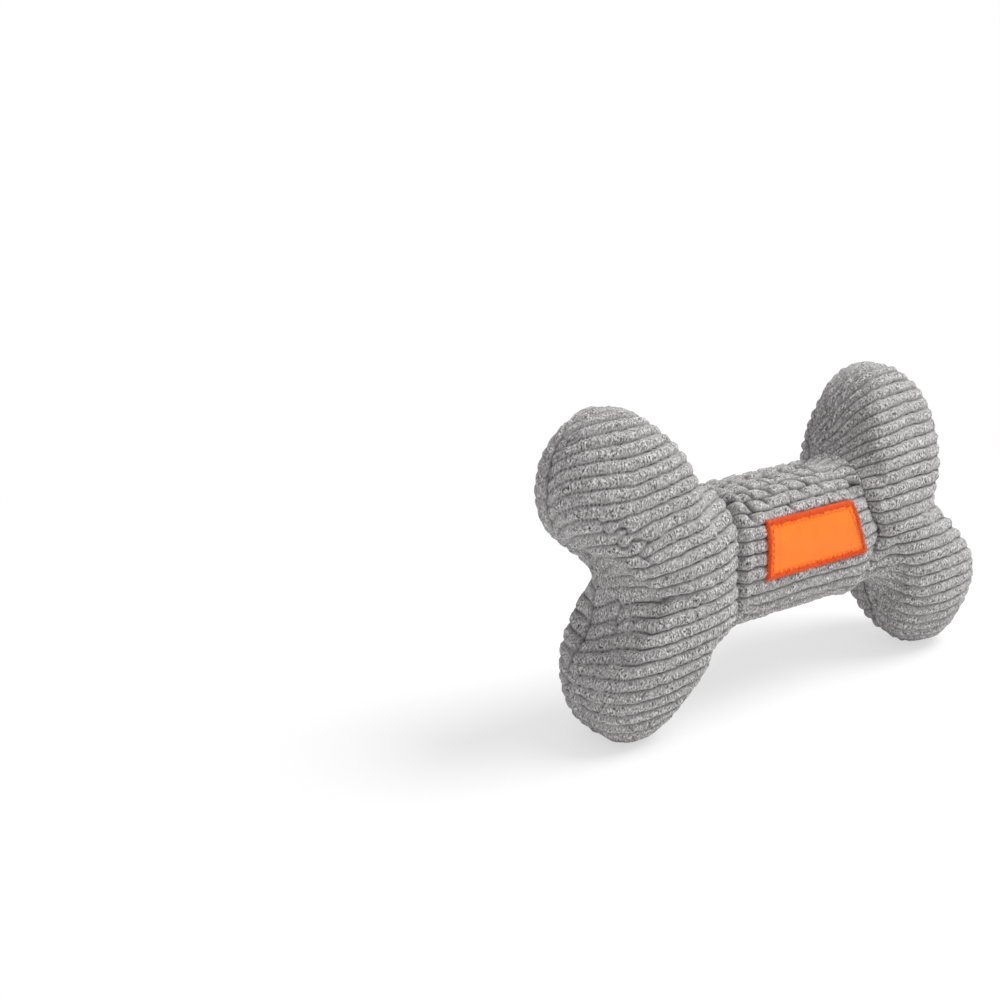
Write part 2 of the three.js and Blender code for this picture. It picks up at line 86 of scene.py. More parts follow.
# Each lobe of the outline: its centre, its radius and the fillet that leads to the shaft
lobes = {
    "leftUpper": {"at": (-0.0917, bone["axis"] + 0.0425), "radius": 0.0278, "fillet": 0.0339},
    "leftLower": {"at": (-0.0792, 0.0239 - bone["footCut"]), "radius": 0.0239, "fillet": 0.0339},
    "rightUpper": {"at": (0.0685, bone["axis"] + 0.0437), "radius": 0.0249, "fillet": 0.0155},
    "rightLower": {"at": (0.0993, bone["axis"] - rightFootDrop() + 0.0256), "radius": 0.0256,
                   "fillet": 0.0155},
}


def smoothStep(value, low, high):
    t = np.clip((value - low) / (high - low), 0, 1)
    return t * t * (3 - 2 * t)


# 1 at no distance, fading to both sides: e to the minus square of distance over width
def bell(distance, width):
    return np.exp(-(distance / width) ** 2)


# Noise from -1 to 1: random values on a square lattice, eased between the corners of each cell
def softNoise(x, y, cell, seed):
    size = 64
    table = np.random.default_rng(seed).uniform(-1, 1, (size, size))
    gx, gy = x / cell, y / cell
    ix, iy = np.floor(gx).astype(int), np.floor(gy).astype(int)
    fx, fy = smoothStep(gx - ix, 0, 1), smoothStep(gy - iy, 0, 1)
    left, right, near, far = ix % size, (ix + 1) % size, iy % size, (iy + 1) % size
    low = table[left, near] * (1 - fx) + table[right, near] * fx
    high = table[left, far] * (1 - fx) + table[right, far] * fx
    return low * (1 - fy) + high * fy


def angleTo(start, end):
    return math.atan2(end[1] - start[1], end[0] - start[0])


# Points of a circle, the way asked, from the side that faces one point to the side that faces another
def arcPoints(centre, radius, start, end, clockwise):
    first, last = angleTo(centre, start), angleTo(centre, end)
    full = 2 * math.pi
    sweep = -((first - last) % full) if clockwise else (last - first) % full
    angle = first + sweep * np.linspace(0, 1, sampling["arc"])
    return np.asarray(centre) + radius * np.stack([np.cos(angle), np.sin(angle)], 1)


# The circle outside an end that touches both of its lobes, and the way out of the notch
def notchOf(upper, lower, radius, outward):
    high, low = np.array(upper["at"]), np.array(lower["at"])
    span = np.linalg.norm(low - high)
    reachHigh, reachLow = upper["radius"] + radius, lower["radius"] + radius
    along = (reachHigh ** 2 - reachLow ** 2 + span ** 2) / (2 * span)
    down = (low - high) / span
    out = np.array([-down[1], down[0]]) * outward
    return high + down * along + out * math.sqrt(reachHigh ** 2 - along ** 2), radius, out


leftNotch = notchOf(lobes["leftUpper"], lobes["leftLower"], bone["leftNotch"], -1)
rightNotch = notchOf(lobes["rightUpper"], lobes["rightLower"], bone["rightNotch"], 1)


# The deepest point of a notch
def poleOf(notch, inset):
    return notch[0] - notch[2] * (notch[1] + inset)


# The circle between a lobe and the shaft's edge that touches both
def filletOf(lobe, half, inset):
    height = bone["axis"] + half * (bone["shaftHalf"] + lobe["fillet"])
    run = math.sqrt((lobe["radius"] + lobe["fillet"]) ** 2 - (height - lobe["at"][1]) ** 2)
    x = lobe["at"][0] - math.copysign(run, lobe["at"][0])
    return (x, height), lobe["fillet"] + inset


# The seam from the right notch to the left one, over the top (half 1) or under (half -1): notch arc,
# lobe arc, fillet, straight shaft, fillet, lobe arc, notch arc, cut into blocks at the folds
def seamBlocks(half, inset):
    right, left = (lobes[side + ("Upper" if half > 0 else "Lower")] for side in ("right", "left"))
    inward = half > 0
    rightBend, rightRound = filletOf(right, half, inset)
    leftBend, leftRound = filletOf(left, half, inset)
    rightOut, leftOut = rightNotch[0], leftNotch[0]
    path = np.concatenate([
        arcPoints(rightOut, rightNotch[1] + inset, poleOf(rightNotch, inset), right["at"], inward),
        arcPoints(right["at"], right["radius"] - inset, rightOut, rightBend, not inward),
        arcPoints(rightBend, rightRound, right["at"], (rightBend[0], rightBend[1] - half), inward),
        arcPoints(leftBend, leftRound, (leftBend[0], leftBend[1] - half), left["at"], inward),
        arcPoints(left["at"], left["radius"] - inset, leftBend, leftOut, not inward),
        arcPoints(leftOut, leftNotch[1] + inset, left["at"], poleOf(leftNotch, inset), inward),
    ])
    cuts = [bone["foldTop"] if half > 0 else bone["foldBottom"], bone["leftWaist"]]
    ends = [int(np.argmax(path[:, 0] < cut)) for cut in cuts]
    crossings = []
    for cut, k in zip(cuts, ends):
        share = (path[k - 1, 0] - cut) / (path[k - 1, 0] - path[k, 0])
        crossings.append(path[k - 1] + (path[k] - path[k - 1]) * share)
    return {
        "rightHead": np.vstack([path[:ends[0]], crossings[0]]),
        "shaft": np.vstack([crossings[0], path[ends[0]:ends[1]], crossings[1]]),
        "leftHead": np.vstack([crossings[1], path[ends[1]:]]),
    }


# Points at the given shares of a path's length
def evenly(path, share):
    run = np.concatenate([[0], np.cumsum(np.linalg.norm(np.diff(path, axis=0), axis=1))])
    return np.stack([np.interp(share * run[-1], run, path[:, k]) for k in (0, 1)], 1)


# The way out of the outline in the seam's plane: the path's averaged direction, turned a quarter
def outwardOf(path, share, half):
    step = sampling["direction"]
    ahead = evenly(path, np.clip(share + step, 0, 1)) - evenly(path, np.clip(share - step, 0, 1))
    ahead /= np.linalg.norm(ahead, axis=1)[:, None]
    return np.stack([half * ahead[:, 1], -half * ahead[:, 0]], 1)


# One turn round a section, from the seam underneath up the front and down the back, in even steps of length
def ringOf(quarter, aspect):
    fine = np.linspace(0, math.pi / 2, sampling["ring"])
    wide, deep = aspect * np.sin(fine) ** (2 / bone["power"]), np.cos(fine) ** (2 / bone["power"])
    run = np.concatenate([[0], np.cumsum(np.hypot(np.diff(wide), np.diff(deep)))])
    turn = np.interp(np.linspace(0, run[-1], quarter + 1), run, fine)
    up, down = turn[:-1], turn[:0:-1]
    return {
        "turn": np.concatenate([down, up, down, up]), "half": np.repeat([-1, 1, 1, -1], quarter),
        "side": np.repeat([-1, -1, 1, 1], quarter),
    }


# The right head turned about the shaft's axis, its upper lobe to the back
def twisted(points):
    angle = bone["twist"] * smoothStep(points[..., 0], bone["twistFrom"], bone["twistTo"])
    rise = points[..., 2] - bone["axis"]
    y = points[..., 1] * np.cos(angle) + rise * np.sin(angle)
    z = rise * np.cos(angle) - points[..., 1] * np.sin(angle) + bone["axis"]
    return np.stack([points[..., 0], y, z], -1)


# Half the form's thickness over its middle line: shaft to head, drawn in at the waists, round at the ends
def halfDepth(x, nearEnd, inset):
    swell = smoothStep(np.abs(x), bone["swellFrom"], bone["swellTo"])
    waist = np.where(x > 0, bone["rightWaist"], bone["leftWaist"])
    dip = bone["waistDip"] * bell(x - waist, bone["waistDipWidth"])
    full = bone["shaftDepth"] + (bone["headDepth"] - bone["shaftDepth"]) * swell - dip - inset
    ease = 1 - np.minimum(1, nearEnd / (bone["endRounding"] - inset))
    return full * np.sqrt(1 - ease ** 2), swell


# What the rounded end takes up of the cloth along the middle line: an ellipse's arc less its plain length
def endRun(nearEnd, towardsPole):
    share = np.linspace(0, 1, sampling["end"])
    plain = np.diff(share * bone["endRounding"])
    depth = bone["headDepth"] * np.sqrt(1 - (1 - share) ** 2)
    fromPole = np.concatenate([[0], np.cumsum(np.hypot(plain, np.diff(depth)) - plain)])
    taken = fromPole[-1] - np.interp(nearEnd / bone["endRounding"], share, fromPole)
    return towardsPole / np.linalg.norm(towardsPole), taken


# How far the seam is pulled round to the back, over and under, at shares of the way from waist to notch
seamPull = {
    "leftHead": {
        1: {"share": (0, 0.35, 0.65, 1), "pull": (0, 0.005, 0.0020, 0.012)},
        -1: {"share": (0, 0.35, 0.65, 1), "pull": (0, 0.005, 0.0085, 0.012)},
    },
    "shaft": {
        1: {"share": (0, 0.3, 1), "pull": (0.014, 0, 0)},
        -1: {"share": (0, 1), "pull": (0, 0)},
    },
    "rightHead": {
        1: {"share": (0, 0.12, 0.5, 1), "pull": (0.014, 0.022, 0.013, 0)},
        -1: {"share": (0, 0.12, 0.5, 1), "pull": (0, 0.009, 0.006, 0)},
    },
}


# How much of the length that the swell takes up lies across the ribs and along them, over and under,
# at shares of the way from waist to notch
takeUp = {
    "leftHead": {
        1: {"share": (0, 0.3, 0.6, 0.85, 1),
            "across": (1, 1, 0.75, 0.75, 0.75), "along": (0.4, 0.4, 1, 1, 1)},
        -1: {"share": (0, 0.3, 0.6, 0.85, 1),
             "across": (1, 0.6, 0, -0.45, -0.45), "along": (0.4, 0.4, 1, 1, 1)},
    },
    "shaft": {half: {"share": (0, 1), "across": (1, 1), "along": (0.5, 0.5)} for half in (1, -1)},
    "rightHead": {
        1: {"share": (0, 0.35, 0.65, 0.85, 1),
            "across": (1, 1, 0.5, 0.4, 0), "along": (0.5, 0.5, 1, 1, 1)},
        -1: {"share": (0, 0.08, 0.2, 0.35, 0.65, 1),
             "across": (0.57, 0.3, 0.3, 0.35, 0.4, 0), "along": (0.57, 1.2, 1.5, 1, 1, 1)},
    },
}


# The values of a table over and under the middle line, on a grid's rows and columns
def overAndUnder(table, key, fromWaist, upper):
    rows = [np.interp(fromWaist, table[half]["share"], table[half][key])[:, None] for half in (1, -1)]
    return np.where(upper[None], rows[0], rows[1])


# A block of the form as a grid: each row is a section from the middle line out to the outline,
# width sin(turn)^(2/p) and depth cos(turn)^(2/p), with p larger under the feet.
# u and w are where a point lay on the flat cloth, along and across its ribs:
# its place in the outline's plane, moved across and along the ribs by what the swell takes up.
# Near the right fold each row bows along the bone by 4 s (1 - s), s being the share of the way out.
def stuffedForm(block, share, ring, inset=0.0):
    rightPole, leftPole = poleOf(rightNotch, inset), poleOf(leftNotch, inset)
    rightWaist, leftWaist = (np.array([bone[k], bone["axis"]]) for k in ("foldMiddle", "leftWaist"))
    start, end = {
        "rightHead": (rightPole, rightWaist), "shaft": (rightWaist, leftWaist),
        "leftHead": (leftWaist, leftPole),
    }[block]
    middle = start + (end - start) * share[:, None]
    paths = {half: seamBlocks(half, inset)[block] for half in (1, -1)}
    upper = ring["half"] > 0
    over = upper[None, :, None]
    edge = np.where(over, evenly(paths[1], share)[:, None], evenly(paths[-1], share)[:, None])
    out = np.where(over, outwardOf(paths[1], share, 1)[:, None], outwardOf(paths[-1], share, -1)[:, None])
    nearEnd = np.minimum(*(np.linalg.norm(middle - pole, axis=1) for pole in (rightPole, leftPole)))
    depth, swell = halfDepth(middle[:, 0], nearEnd, inset)
    towardsPole = rightPole - rightWaist if block == "rightHead" else leftPole - leftWaist
    endways, endLength = endRun(nearEnd, towardsPole)
    lowPower = bone["power"] + (bone["footPower"] - bone["power"]) * swell
    if block == "rightHead":
        lowPower -= bone["flankLoss"] * smoothStep(share, bone["flankFrom"], bone["flankTo"])
    power = np.where(upper[None], bone["power"], lowPower[:, None])
    spread = np.sin(ring["turn"])[None] ** (2 / power)
    height = np.maximum(np.cos(ring["turn"]), 0)[None] ** (2 / power)
    plan = middle[:, None] + (edge - middle[:, None]) * spread[..., None]
    bow = np.where(upper[None], bone["foldBowTop"], bone["foldBowBottom"])
    nearFold = bell(middle[:, :1] - bone["foldMiddle"], bone["foldBowReach"])
    plan[..., 0] += bow * 4 * spread * (1 - spread) * nearFold
    points = np.stack([plan[..., 0], ring["side"] * depth[:, None] * height, plan[..., 1]], -1)
    step = np.linalg.norm(np.roll(points, -1, 1) - points, axis=2)
    quarters = np.split(step, 4, axis=1)
    arcs = []
    for k, length in enumerate(quarters):
        towardsMiddle = np.cumsum(length[:, ::-1], axis=1)[:, ::-1]
        fromMiddle = np.cumsum(length, axis=1) - length
        arcs.append(fromMiddle if k % 2 else towardsMiddle)
    total = np.concatenate([np.repeat(q.sum(1)[:, None], q.shape[1], 1) for q in quarters], 1)
    arc = np.concatenate(arcs, 1)
    toEdge = np.maximum(total - arc, 0)
    fromWaist = 1 - share if block == "rightHead" else share
    pull = overAndUnder(seamPull[block], "pull", fromWaist, upper)
    across = overAndUnder(takeUp[block], "across", fromWaist, upper)
    along = overAndUnder(takeUp[block], "along", fromWaist, upper)
    behind = np.broadcast_to(ring["side"] > 0, arc.shape)
    past = behind & (toEdge < pull)
    flat = np.where(past[..., None], edge, plan)
    extra = np.where(past, total + toEdge, arc) - np.linalg.norm(flat - middle[:, None], axis=2)
    return {
        "block": block, "points": twisted(points) + shaftMiddle,
        "u": flat[..., 0] + out[..., 0] * along * extra + endways[0] * endLength[:, None],
        "w": flat[..., 1] - bone["axis"] + ring["half"] * across * extra,
        "fromSeam": np.where(behind, np.abs(toEdge - pull), toEdge + pull),
        "side": np.where(behind & ~past, 1, -1),
    }


# The way out of a grid's surface, by the cross product of its two directions
def normalsOf(points):
    around = np.roll(points, -1, 1) - np.roll(points, 1, 1)
    normal = np.cross(np.gradient(points, axis=0), around)
    normal /= np.maximum(np.linalg.norm(normal, axis=2), 1e-12)[..., None]
    inside = points.mean((0, 1))
    return normal if ((points - inside) * normal).sum() > 0 else -normal


# The vertex numbers of a grid
def numbered(points):
    return np.arange(points.shape[0] * points.shape[1]).reshape(points.shape[:2])


# Four-cornered faces over a table of vertex numbers
def quadsOf(index, closed=False):
    after = np.roll(index, -1, 1) if closed else index[:, 1:]
    before = index if closed else index[:, :-1]
    return np.stack([before[:-1], after[:-1], after[1:], before[1:]], -1).reshape(-1, 4)


# Triangles from the sides of a ring to one point
def fanOf(start, end, pole):
    return np.stack([start, end, np.full_like(start, pole)], 1).tolist()


# A row of rings as points and faces, each end closed to its middle
def closeEnds(points):
    index = numbered(points)
    first, last = index[0], index[-1]
    faces = quadsOf(index, True).tolist() + fanOf(np.roll(first, -1), first, index.size)
    faces += fanOf(last, np.roll(last, -1), index.size + 1)
    return np.concatenate([points.reshape(-1, 3), points[[0, -1]].mean(1)]), faces


# The faces of a slab: a grid, a second one under it, and walls round the edge
def slabFaces(index):
    below = index + index.size
    return np.concatenate([
        quadsOf(index), quadsOf(below)[:, ::-1],
        quadsOf(np.stack([below[0], index[0]])), quadsOf(np.stack([index[-1], below[-1]])),
        quadsOf(np.stack([index[:, 0], below[:, 0]])), quadsOf(np.stack([below[:, -1], index[:, -1]])),
    ])


# An object made of the data given, put in the scene
def placed(name, data):
    thing = bpy.data.objects.new(name, data)
    bpy.context.scene.collection.objects.link(thing)
    return thing


# A mesh piece from points, faces, cloth coordinates and values per point, its faces turned outwards
def addPiece(name, points, faces, material, uv=None, values=None):
    mesh = bpy.data.meshes.new(name)
    mesh.from_pydata(np.asarray(points).reshape(-1, 3).tolist(), [], [list(face) for face in faces])
    mesh.update()
    if uv is not None:
        corner = np.zeros(len(mesh.loops), np.int32)
        mesh.loops.foreach_get("vertex_index", corner)
        cloth = mesh.uv_layers.new(name="cloth")
        cloth.data.foreach_set("uv", np.asarray(uv, np.float32)[corner].ravel())
    for label, value in (values or {}).items():
        value = np.asarray(value, np.float32)
        kind, field = ("FLOAT", "value") if value.ndim == 1 else ("FLOAT_VECTOR", "vector")
        mesh.attributes.new(label, kind, "POINT").data.foreach_set(field, value.ravel())
    mesh.polygons.foreach_set("use_smooth", np.ones(len(mesh.polygons), bool))
    mesh.calc_loop_triangles()
    corners = np.zeros(len(mesh.loop_triangles) * 3, np.int32)
    mesh.loop_triangles.foreach_get("vertices", corners)
    a, b, c = np.asarray(points).reshape(-1, 3)[corners.reshape(-1, 3)].transpose(1, 0, 2)
    if (a * np.cross(b, c)).sum() < 0:
        mesh.flip_normals()
    mesh.materials.append(material)
    return placed(name, mesh)


# Materials
def newMaterial(name):
    material = bpy.data.materials.new(name)
    material.use_nodes = True
    return material, material.node_tree, material.node_tree.nodes["Principled BSDF"]


# Each input of a node is linked to an output or set to a value
def feed(tree, node, inputs):
    for key, value in inputs.items():
        if hasattr(value, "is_output"):
            tree.links.new(value, node.inputs[key])
        else:
            node.inputs[key].default_value = value
    return node


def addNode(tree, kind, inputs=None, **settings):
    node = tree.nodes.new(kind)
    for key, value in settings.items():
        setattr(node, key, value)
    return feed(tree, node, inputs or {})


def addMath(tree, operation, *values):
    return addNode(tree, "ShaderNodeMath", dict(enumerate(values)), operation=operation).outputs[0]


def addNoise(tree, place, scale, detail, roughness=0.5, **settings):
    inputs = {"Vector": place, "Scale": scale, "Detail": detail, "Roughness": roughness}
    return addNode(tree, "ShaderNodeTexNoise", inputs, **settings).outputs["Fac"]


def addRange(tree, value, low, high, least, most, **settings):
    inputs = {"Value": value, "From Min": low, "From Max": high, "To Min": least, "To Max": most}
    return addNode(tree, "ShaderNodeMapRange", inputs, **settings).outputs["Result"]


def addBump(tree, strength, distance, height):
    inputs = {"Strength": strength, "Distance": distance, "Height": height}
    return addNode(tree, "ShaderNodeBump", inputs).outputs["Normal"]


# A colour ramp through the given stops
def addRamp(tree, source, stops):
    ramp = addNode(tree, "ShaderNodeValToRGB", {"Fac": source})
    while len(ramp.color_ramp.elements) < len(stops):
        ramp.color_ramp.elements.new(0.5)
    for element, (place, colour) in zip(ramp.color_ramp.elements, stops):
        element.position = place
        element.color = (*colour, 1)
    return ramp.outputs["Color"]


# Wide-wale corduroy: short strokes over each rib, the pile's grey mixed with painted highlights on its tufts
# and painted shade between them, and a plainer valley between the ribs, darkened by painted shade
pile = {
    "tint": (1.025, 0.985, 0.99), "plain": 0.365, "tuftShade": 0.035, "tuftShadeAt": 0.33, "middle": 0.345,
    "middleAt": 0.50, "tuftHighlight": 0.82, "tuftHighlightAt": 0.68, "strokeWidth": 0.00067, "strokeLength": 0.0013,
    "strokeDetail": 1.5, "strokeRoughness": 0.6, "slant": 0.30, "cluster": 0.0034, "clusterDetail": 2.0,
    "patchFrom": 0.3, "patchTo": 0.65, "patchLeast": 0.35, "rough": 0.95, "smooth": 0.35,
    "valley": 0.05, "valleyShadeEnd": 0.62, "ragged": 0.5, "bump": 0.8, "bumpHeight": 0.0006,
    "roughness": 0.95, "specular": 0.15, "sheen": 0.12, "sheenRoughness": 0.5,
}


def grey(value):
    return tuple(value * tint for tint in pile["tint"])


def corduroyMaterial():
    material, tree, shader = newMaterial("corduroyPile")
    place = addNode(tree, "ShaderNodeAttribute", attribute_name="place").outputs["Vector"]
    strokePlace = addNode(tree, "ShaderNodeMapping", {
        "Vector": place, "Rotation": (0, pile["slant"], 0),
        "Scale": (1 / pile["strokeWidth"], 1 / pile["strokeWidth"], 1 / pile["strokeLength"])})
    strokes = addNoise(tree, strokePlace.outputs["Vector"], 1.0, pile["strokeDetail"],
                       pile["strokeRoughness"])
    clusters = addNoise(tree, place, 1 / pile["cluster"], pile["clusterDetail"])
    crown = addNode(tree, "ShaderNodeAttribute", attribute_name="crown").outputs["Fac"]
    top = addRange(tree, crown, pile["smooth"], pile["rough"], 0, 1, interpolation_type="SMOOTHSTEP")
    patchy = addRange(tree, clusters, pile["patchFrom"], pile["patchTo"], pile["patchLeast"], 1)
    amount = addMath(tree, "MULTIPLY", top, patchy)
    # Painted highlight and painted shade: the stroke ramp's light stop stands for glints on the tufts and its
    # dark stop for shade between them, round the pile's own middle grey
    stops = [(pile[tone + "At"], grey(pile[tone])) for tone in ("tuftShade", "middle", "tuftHighlight")]
    speckled = addRamp(tree, strokes, stops)
    mixed = addNode(tree, "ShaderNodeMix", {
        "Factor": amount, "A": (*grey(pile["plain"]), 1), "B": speckled}, data_type="RGBA")
    # Painted shade: the valleys between the ribs are darkened down to the valley value, 0.05 of the colour,
    # fading out towards the crowns
    ragged = addMath(tree, "MULTIPLY_ADD", strokes, pile["ragged"], -pile["ragged"] / 2)
    depth = addMath(tree, "ADD", crown, ragged)
    valley = addRamp(tree, depth, [(0.0, (pile["valley"],) * 3), (pile["valleyShadeEnd"], (1, 1, 1))])
    final = addNode(tree, "ShaderNodeMix", {"Factor": 1.0, "A": mixed.outputs["Result"], "B": valley},
                    data_type="RGBA", blend_type="MULTIPLY")
    height = addMath(tree, "MULTIPLY", strokes, amount)
    feed(tree, shader, {
        "Base Color": final.outputs["Result"],
        "Normal": addBump(tree, pile["bump"], pile["bumpHeight"], height),
        "Roughness": pile["roughness"],
        "Specular IOR Level": pile["specular"],
        "Sheen Weight": pile["sheen"],
        "Sheen Roughness": pile["sheenRoughness"],
    })
    return material


# A plain surface with a little colour and gloss variation of its own
grain = {"detail": 4.0, "roughness": 0.6, "from": 0.3, "to": 0.7, "gloss": 0.08, "bump": 0.4}


def grainedMaterial(name, colour, contrast, cell, roughness, bumpHeight, sheen=0.0):
    material, tree, shader = newMaterial(name)
    place = addNode(tree, "ShaderNodeTexCoord").outputs["Object"]
    speckle = addNoise(tree, place, 1 / cell, grain["detail"], grain["roughness"])
    low, high = (tuple(min(1, c * (1 + change)) for c in colour) for change in (-contrast, contrast))
    gloss = roughness - grain["gloss"], min(1, roughness + grain["gloss"])
    feed(tree, shader, {
        "Base Color": addRamp(tree, speckle, [(grain["from"], low), (grain["to"], high)]),
        "Roughness": addRange(tree, speckle, 0, 1, *gloss),
        "Normal": addBump(tree, grain["bump"], bumpHeight, speckle),
        "Sheen Weight": sheen,
    })
    return material


# Satin: fine threads across and along, woven over each other, on the label's flat coordinates in millimetres
satin = {
    "colour": (0.95, 0.205, 0.014), "contrast": 0.10, "thread": 0.42, "threadWaves": 3.2,
    "distortion": 0.6, "detail": 1.0, "detailScale": 0.4, "haze": 0.11, "hazeDetail": 3.0,
    "lowAt": 0.35, "bump": 0.35, "bumpHeight": 0.00008, "roughness": 0.5, "specular": 0.25,
}


def satinMaterial():
    material, tree, shader = newMaterial("labelSatin")
    cloth = addNode(tree, "ShaderNodeUVMap", uv_map="cloth").outputs["UV"]
    threads = {
        "Vector": cloth, "Scale": 1 / satin["thread"] / satin["threadWaves"],
        "Distortion": satin["distortion"], "Detail": satin["detail"], "Detail Scale": satin["detailScale"]}
    waves = [addNode(tree, "ShaderNodeTexWave", threads, bands_direction=way) for way in ("X", "Y")]
    weave = addMath(tree, "MULTIPLY", *(wave.outputs["Fac"] for wave in waves))
    haze = addNoise(tree, cloth, satin["haze"], satin["hazeDetail"], noise_dimensions="2D")
    tone = addMath(tree, "ADD", weave, haze)
    shares = 1 - satin["contrast"], 1 + satin["contrast"]
    low, high = (tuple(min(1, c * share) for c in satin["colour"]) for share in shares)
    feed(tree, shader, {
        "Base Color": addRamp(tree, tone, [(satin["lowAt"], low), (1.0, high)]),
        "Normal": addBump(tree, satin["bump"], satin["bumpHeight"], weave),
        "Roughness": satin["roughness"],
        "Specular IOR Level": satin["specular"],
    })
    return material


pileMaterial = corduroyMaterial()
labelMaterial = satinMaterial()
borderMaterial = grainedMaterial("overlockThread", (0.88, 0.095, 0.010), 0.25, 0.0009, 0.75, 0.0002)
stitchMaterial = grainedMaterial("stitchThread", (0.92, 0.180, 0.013), 0.12, 0.0009, 0.75, 0.0002)
seamMaterial = grainedMaterial("greyThread", (0.16, 0.16, 0.165), 0.25, 0.0008, 0.8, 0.0002, 0.2)
fibreMaterial = grainedMaterial("looseFibre", (0.82, 0.82, 0.80), 0.12, 0.004, 0.95, 0.0015, 0.3)
bulbMaterial = grainedMaterial("waxyBulb", (0.78, 0.79, 0.75), 0.04, 0.009, 0.42, 0.0001)
whistleMaterial = grainedMaterial("mouldedWhistle", (0.62, 0.67, 0.71), 0.04, 0.006, 0.35, 0.00006)
reedMaterial = grainedMaterial("reedFilm", (0.58, 0.62, 0.67), 0.05, 0.003, 0.22, 0.00003)
print("materials made")

# Ribs of the cloth: how far apart and how high, how they end at a seam, and how they run over the lobes
ribs = {
    "pitch": 0.0055, "height": 0.0020, "sunk": 0.66, "fullness": 2.6, "shoulder": 0.62,
    "roundEnd": 0.0028, "seamDip": 0.0005, "seamWidth": 0.0015, "wander": 0.0007, "wanderCell": 0.024,
    "ripple": 0.00035, "rippleCell": 0.0032, "tuft": 0.00022, "tuftCell": 0.0014,
    "tuftSkew": (0.6, 0.35), "stretch": 0.0018, "stretchSpan": 0.130,
    "phase": {"leftHead": 0.78, "shaft": 0.96, "rightHead": 0.42},
    "backPhase": 0.5, "leftClimb": 0.08, "leftClimbMore": 0.07, "leftClimbOver": (-0.03, 0.03),
    "leftClimbFrom": -0.070, "leftClimbEnd": -0.026,
}


# Noise over the flat cloth
def clothNoise(form, cell, seed):
    return softNoise(form["u"], form["w"], cell, seed)


# Gathers where the seam's stitches draw the cloth up: short dents and shifts along it that fade away from it
gathers = {
    "depth": 0.0016, "reach": 0.009, "cell": 0.0065, "row": 0.02, "shift": 0.0022, "shiftCell": 0.0085,
    "shiftRow": 0.03, "headShare": 0.3,
}


def gatherShare(form):
    return 1 if form["block"] == "shaft" else gathers["headShare"]


def gatherDip(form):
    dents = np.maximum(0, softNoise(form["u"], form["side"] * gathers["row"], gathers["cell"], seed=51))
    return gatherShare(form) * gathers["depth"] * dents * bell(form["fromSeam"], gathers["reach"])


def gatherShift(form):
    drawn = softNoise(form["u"], form["side"] * gathers["shiftRow"], gathers["shiftCell"], seed=52)
    return gathers["shift"] * drawn * gatherShare(form) * bell(form["fromSeam"], gathers["reach"])


# Bricks on top of the shaft: slack cloth breaks each rib by leaning cuts, every rib at places of its own
bricks = {
    "from": 0.0165, "to": 0.0225, "length": 0.0115, "wander": 0.45, "width": 0.0014, "depth": 0.88,
    "cell": 0.010, "slant": 0.75, "gateFrom": -0.6, "gateTo": 0.1, "ribs": 64,
}


def brickCut(form, number):
    if form["block"] != "shaft":
        return 1.0
    offsets = np.random.default_rng(61).uniform(0, 1, bricks["ribs"])
    offset = offsets[np.floor(number).astype(int) % bricks["ribs"]]
    leaning = form["u"] + bricks["slant"] * ribs["pitch"] * (number - np.floor(number))
    place = leaning / bricks["length"] + offset + bricks["wander"] * clothNoise(form, bricks["cell"], seed=62)
    near = np.abs(place - np.round(place)) * bricks["length"]
    patches = smoothStep(clothNoise(form, bricks["cell"], seed=63), bricks["gateFrom"], bricks["gateTo"])
    strength = smoothStep(form["w"], bricks["from"], bricks["to"]) * patches
    return 1 - bricks["depth"] * strength * bell(near, bricks["width"])


# Creases that break the ribs of the front: each runs over the flat cloth from one point to another
crease = {
    "width": 0.0010, "depth": 0.55, "shift": 0.40, "reach": 0.008, "fade": 0.3, "dip": 0.0005,
    "dipWidth": 0.0030, "wobble": 0.0045, "wobbleCell": 0.0060,
}
creases = {
    "leftHead": ((-0.1180, 0.0385, -0.0830, 0.0120), (-0.1030, -0.0040, -0.0975, -0.0160)), "shaft": (),
    "rightHead": (),
}


# Distance to one side of a crease, and its strength, which fades at both of its ends
def creaseAt(form, ends):
    length = math.hypot(ends[2] - ends[0], ends[3] - ends[1])
    aheadU, aheadW = (ends[2] - ends[0]) / length, (ends[3] - ends[1]) / length
    u, w = form["u"] - ends[0], form["w"] - ends[1]
    share = (u * aheadU + w * aheadW) / length
    strength = smoothStep(share, 0, crease["fade"]) * (1 - smoothStep(share, 1 - crease["fade"], 1))
    wobble = crease["wobble"] * clothNoise(form, crease["wobbleCell"], seed=64)
    return w * aheadU - u * aheadW + wobble, strength * (form["side"] < 0)


def creaseDip(form):
    dip = 0.0
    for ends in creases[form["block"]]:
        aside, strength = creaseAt(form, ends)
        dip = dip + crease["dip"] * strength * bell(aside, crease["dipWidth"])
    return dip


# How far a rib has moved across the cloth: ribs part over the middle and climb to the right on the left head
def ribShift(block, u, w):
    shift = ribs["stretch"] * np.sin(2 * math.pi * w / ribs["stretchSpan"])
    if block == "leftHead":
        climb = ribs["leftClimb"] + ribs["leftClimbMore"] * smoothStep(w, *ribs["leftClimbOver"])
        shift = shift + climb * np.maximum(u - ribs["leftClimbFrom"], ribs["leftClimbEnd"])
    return shift


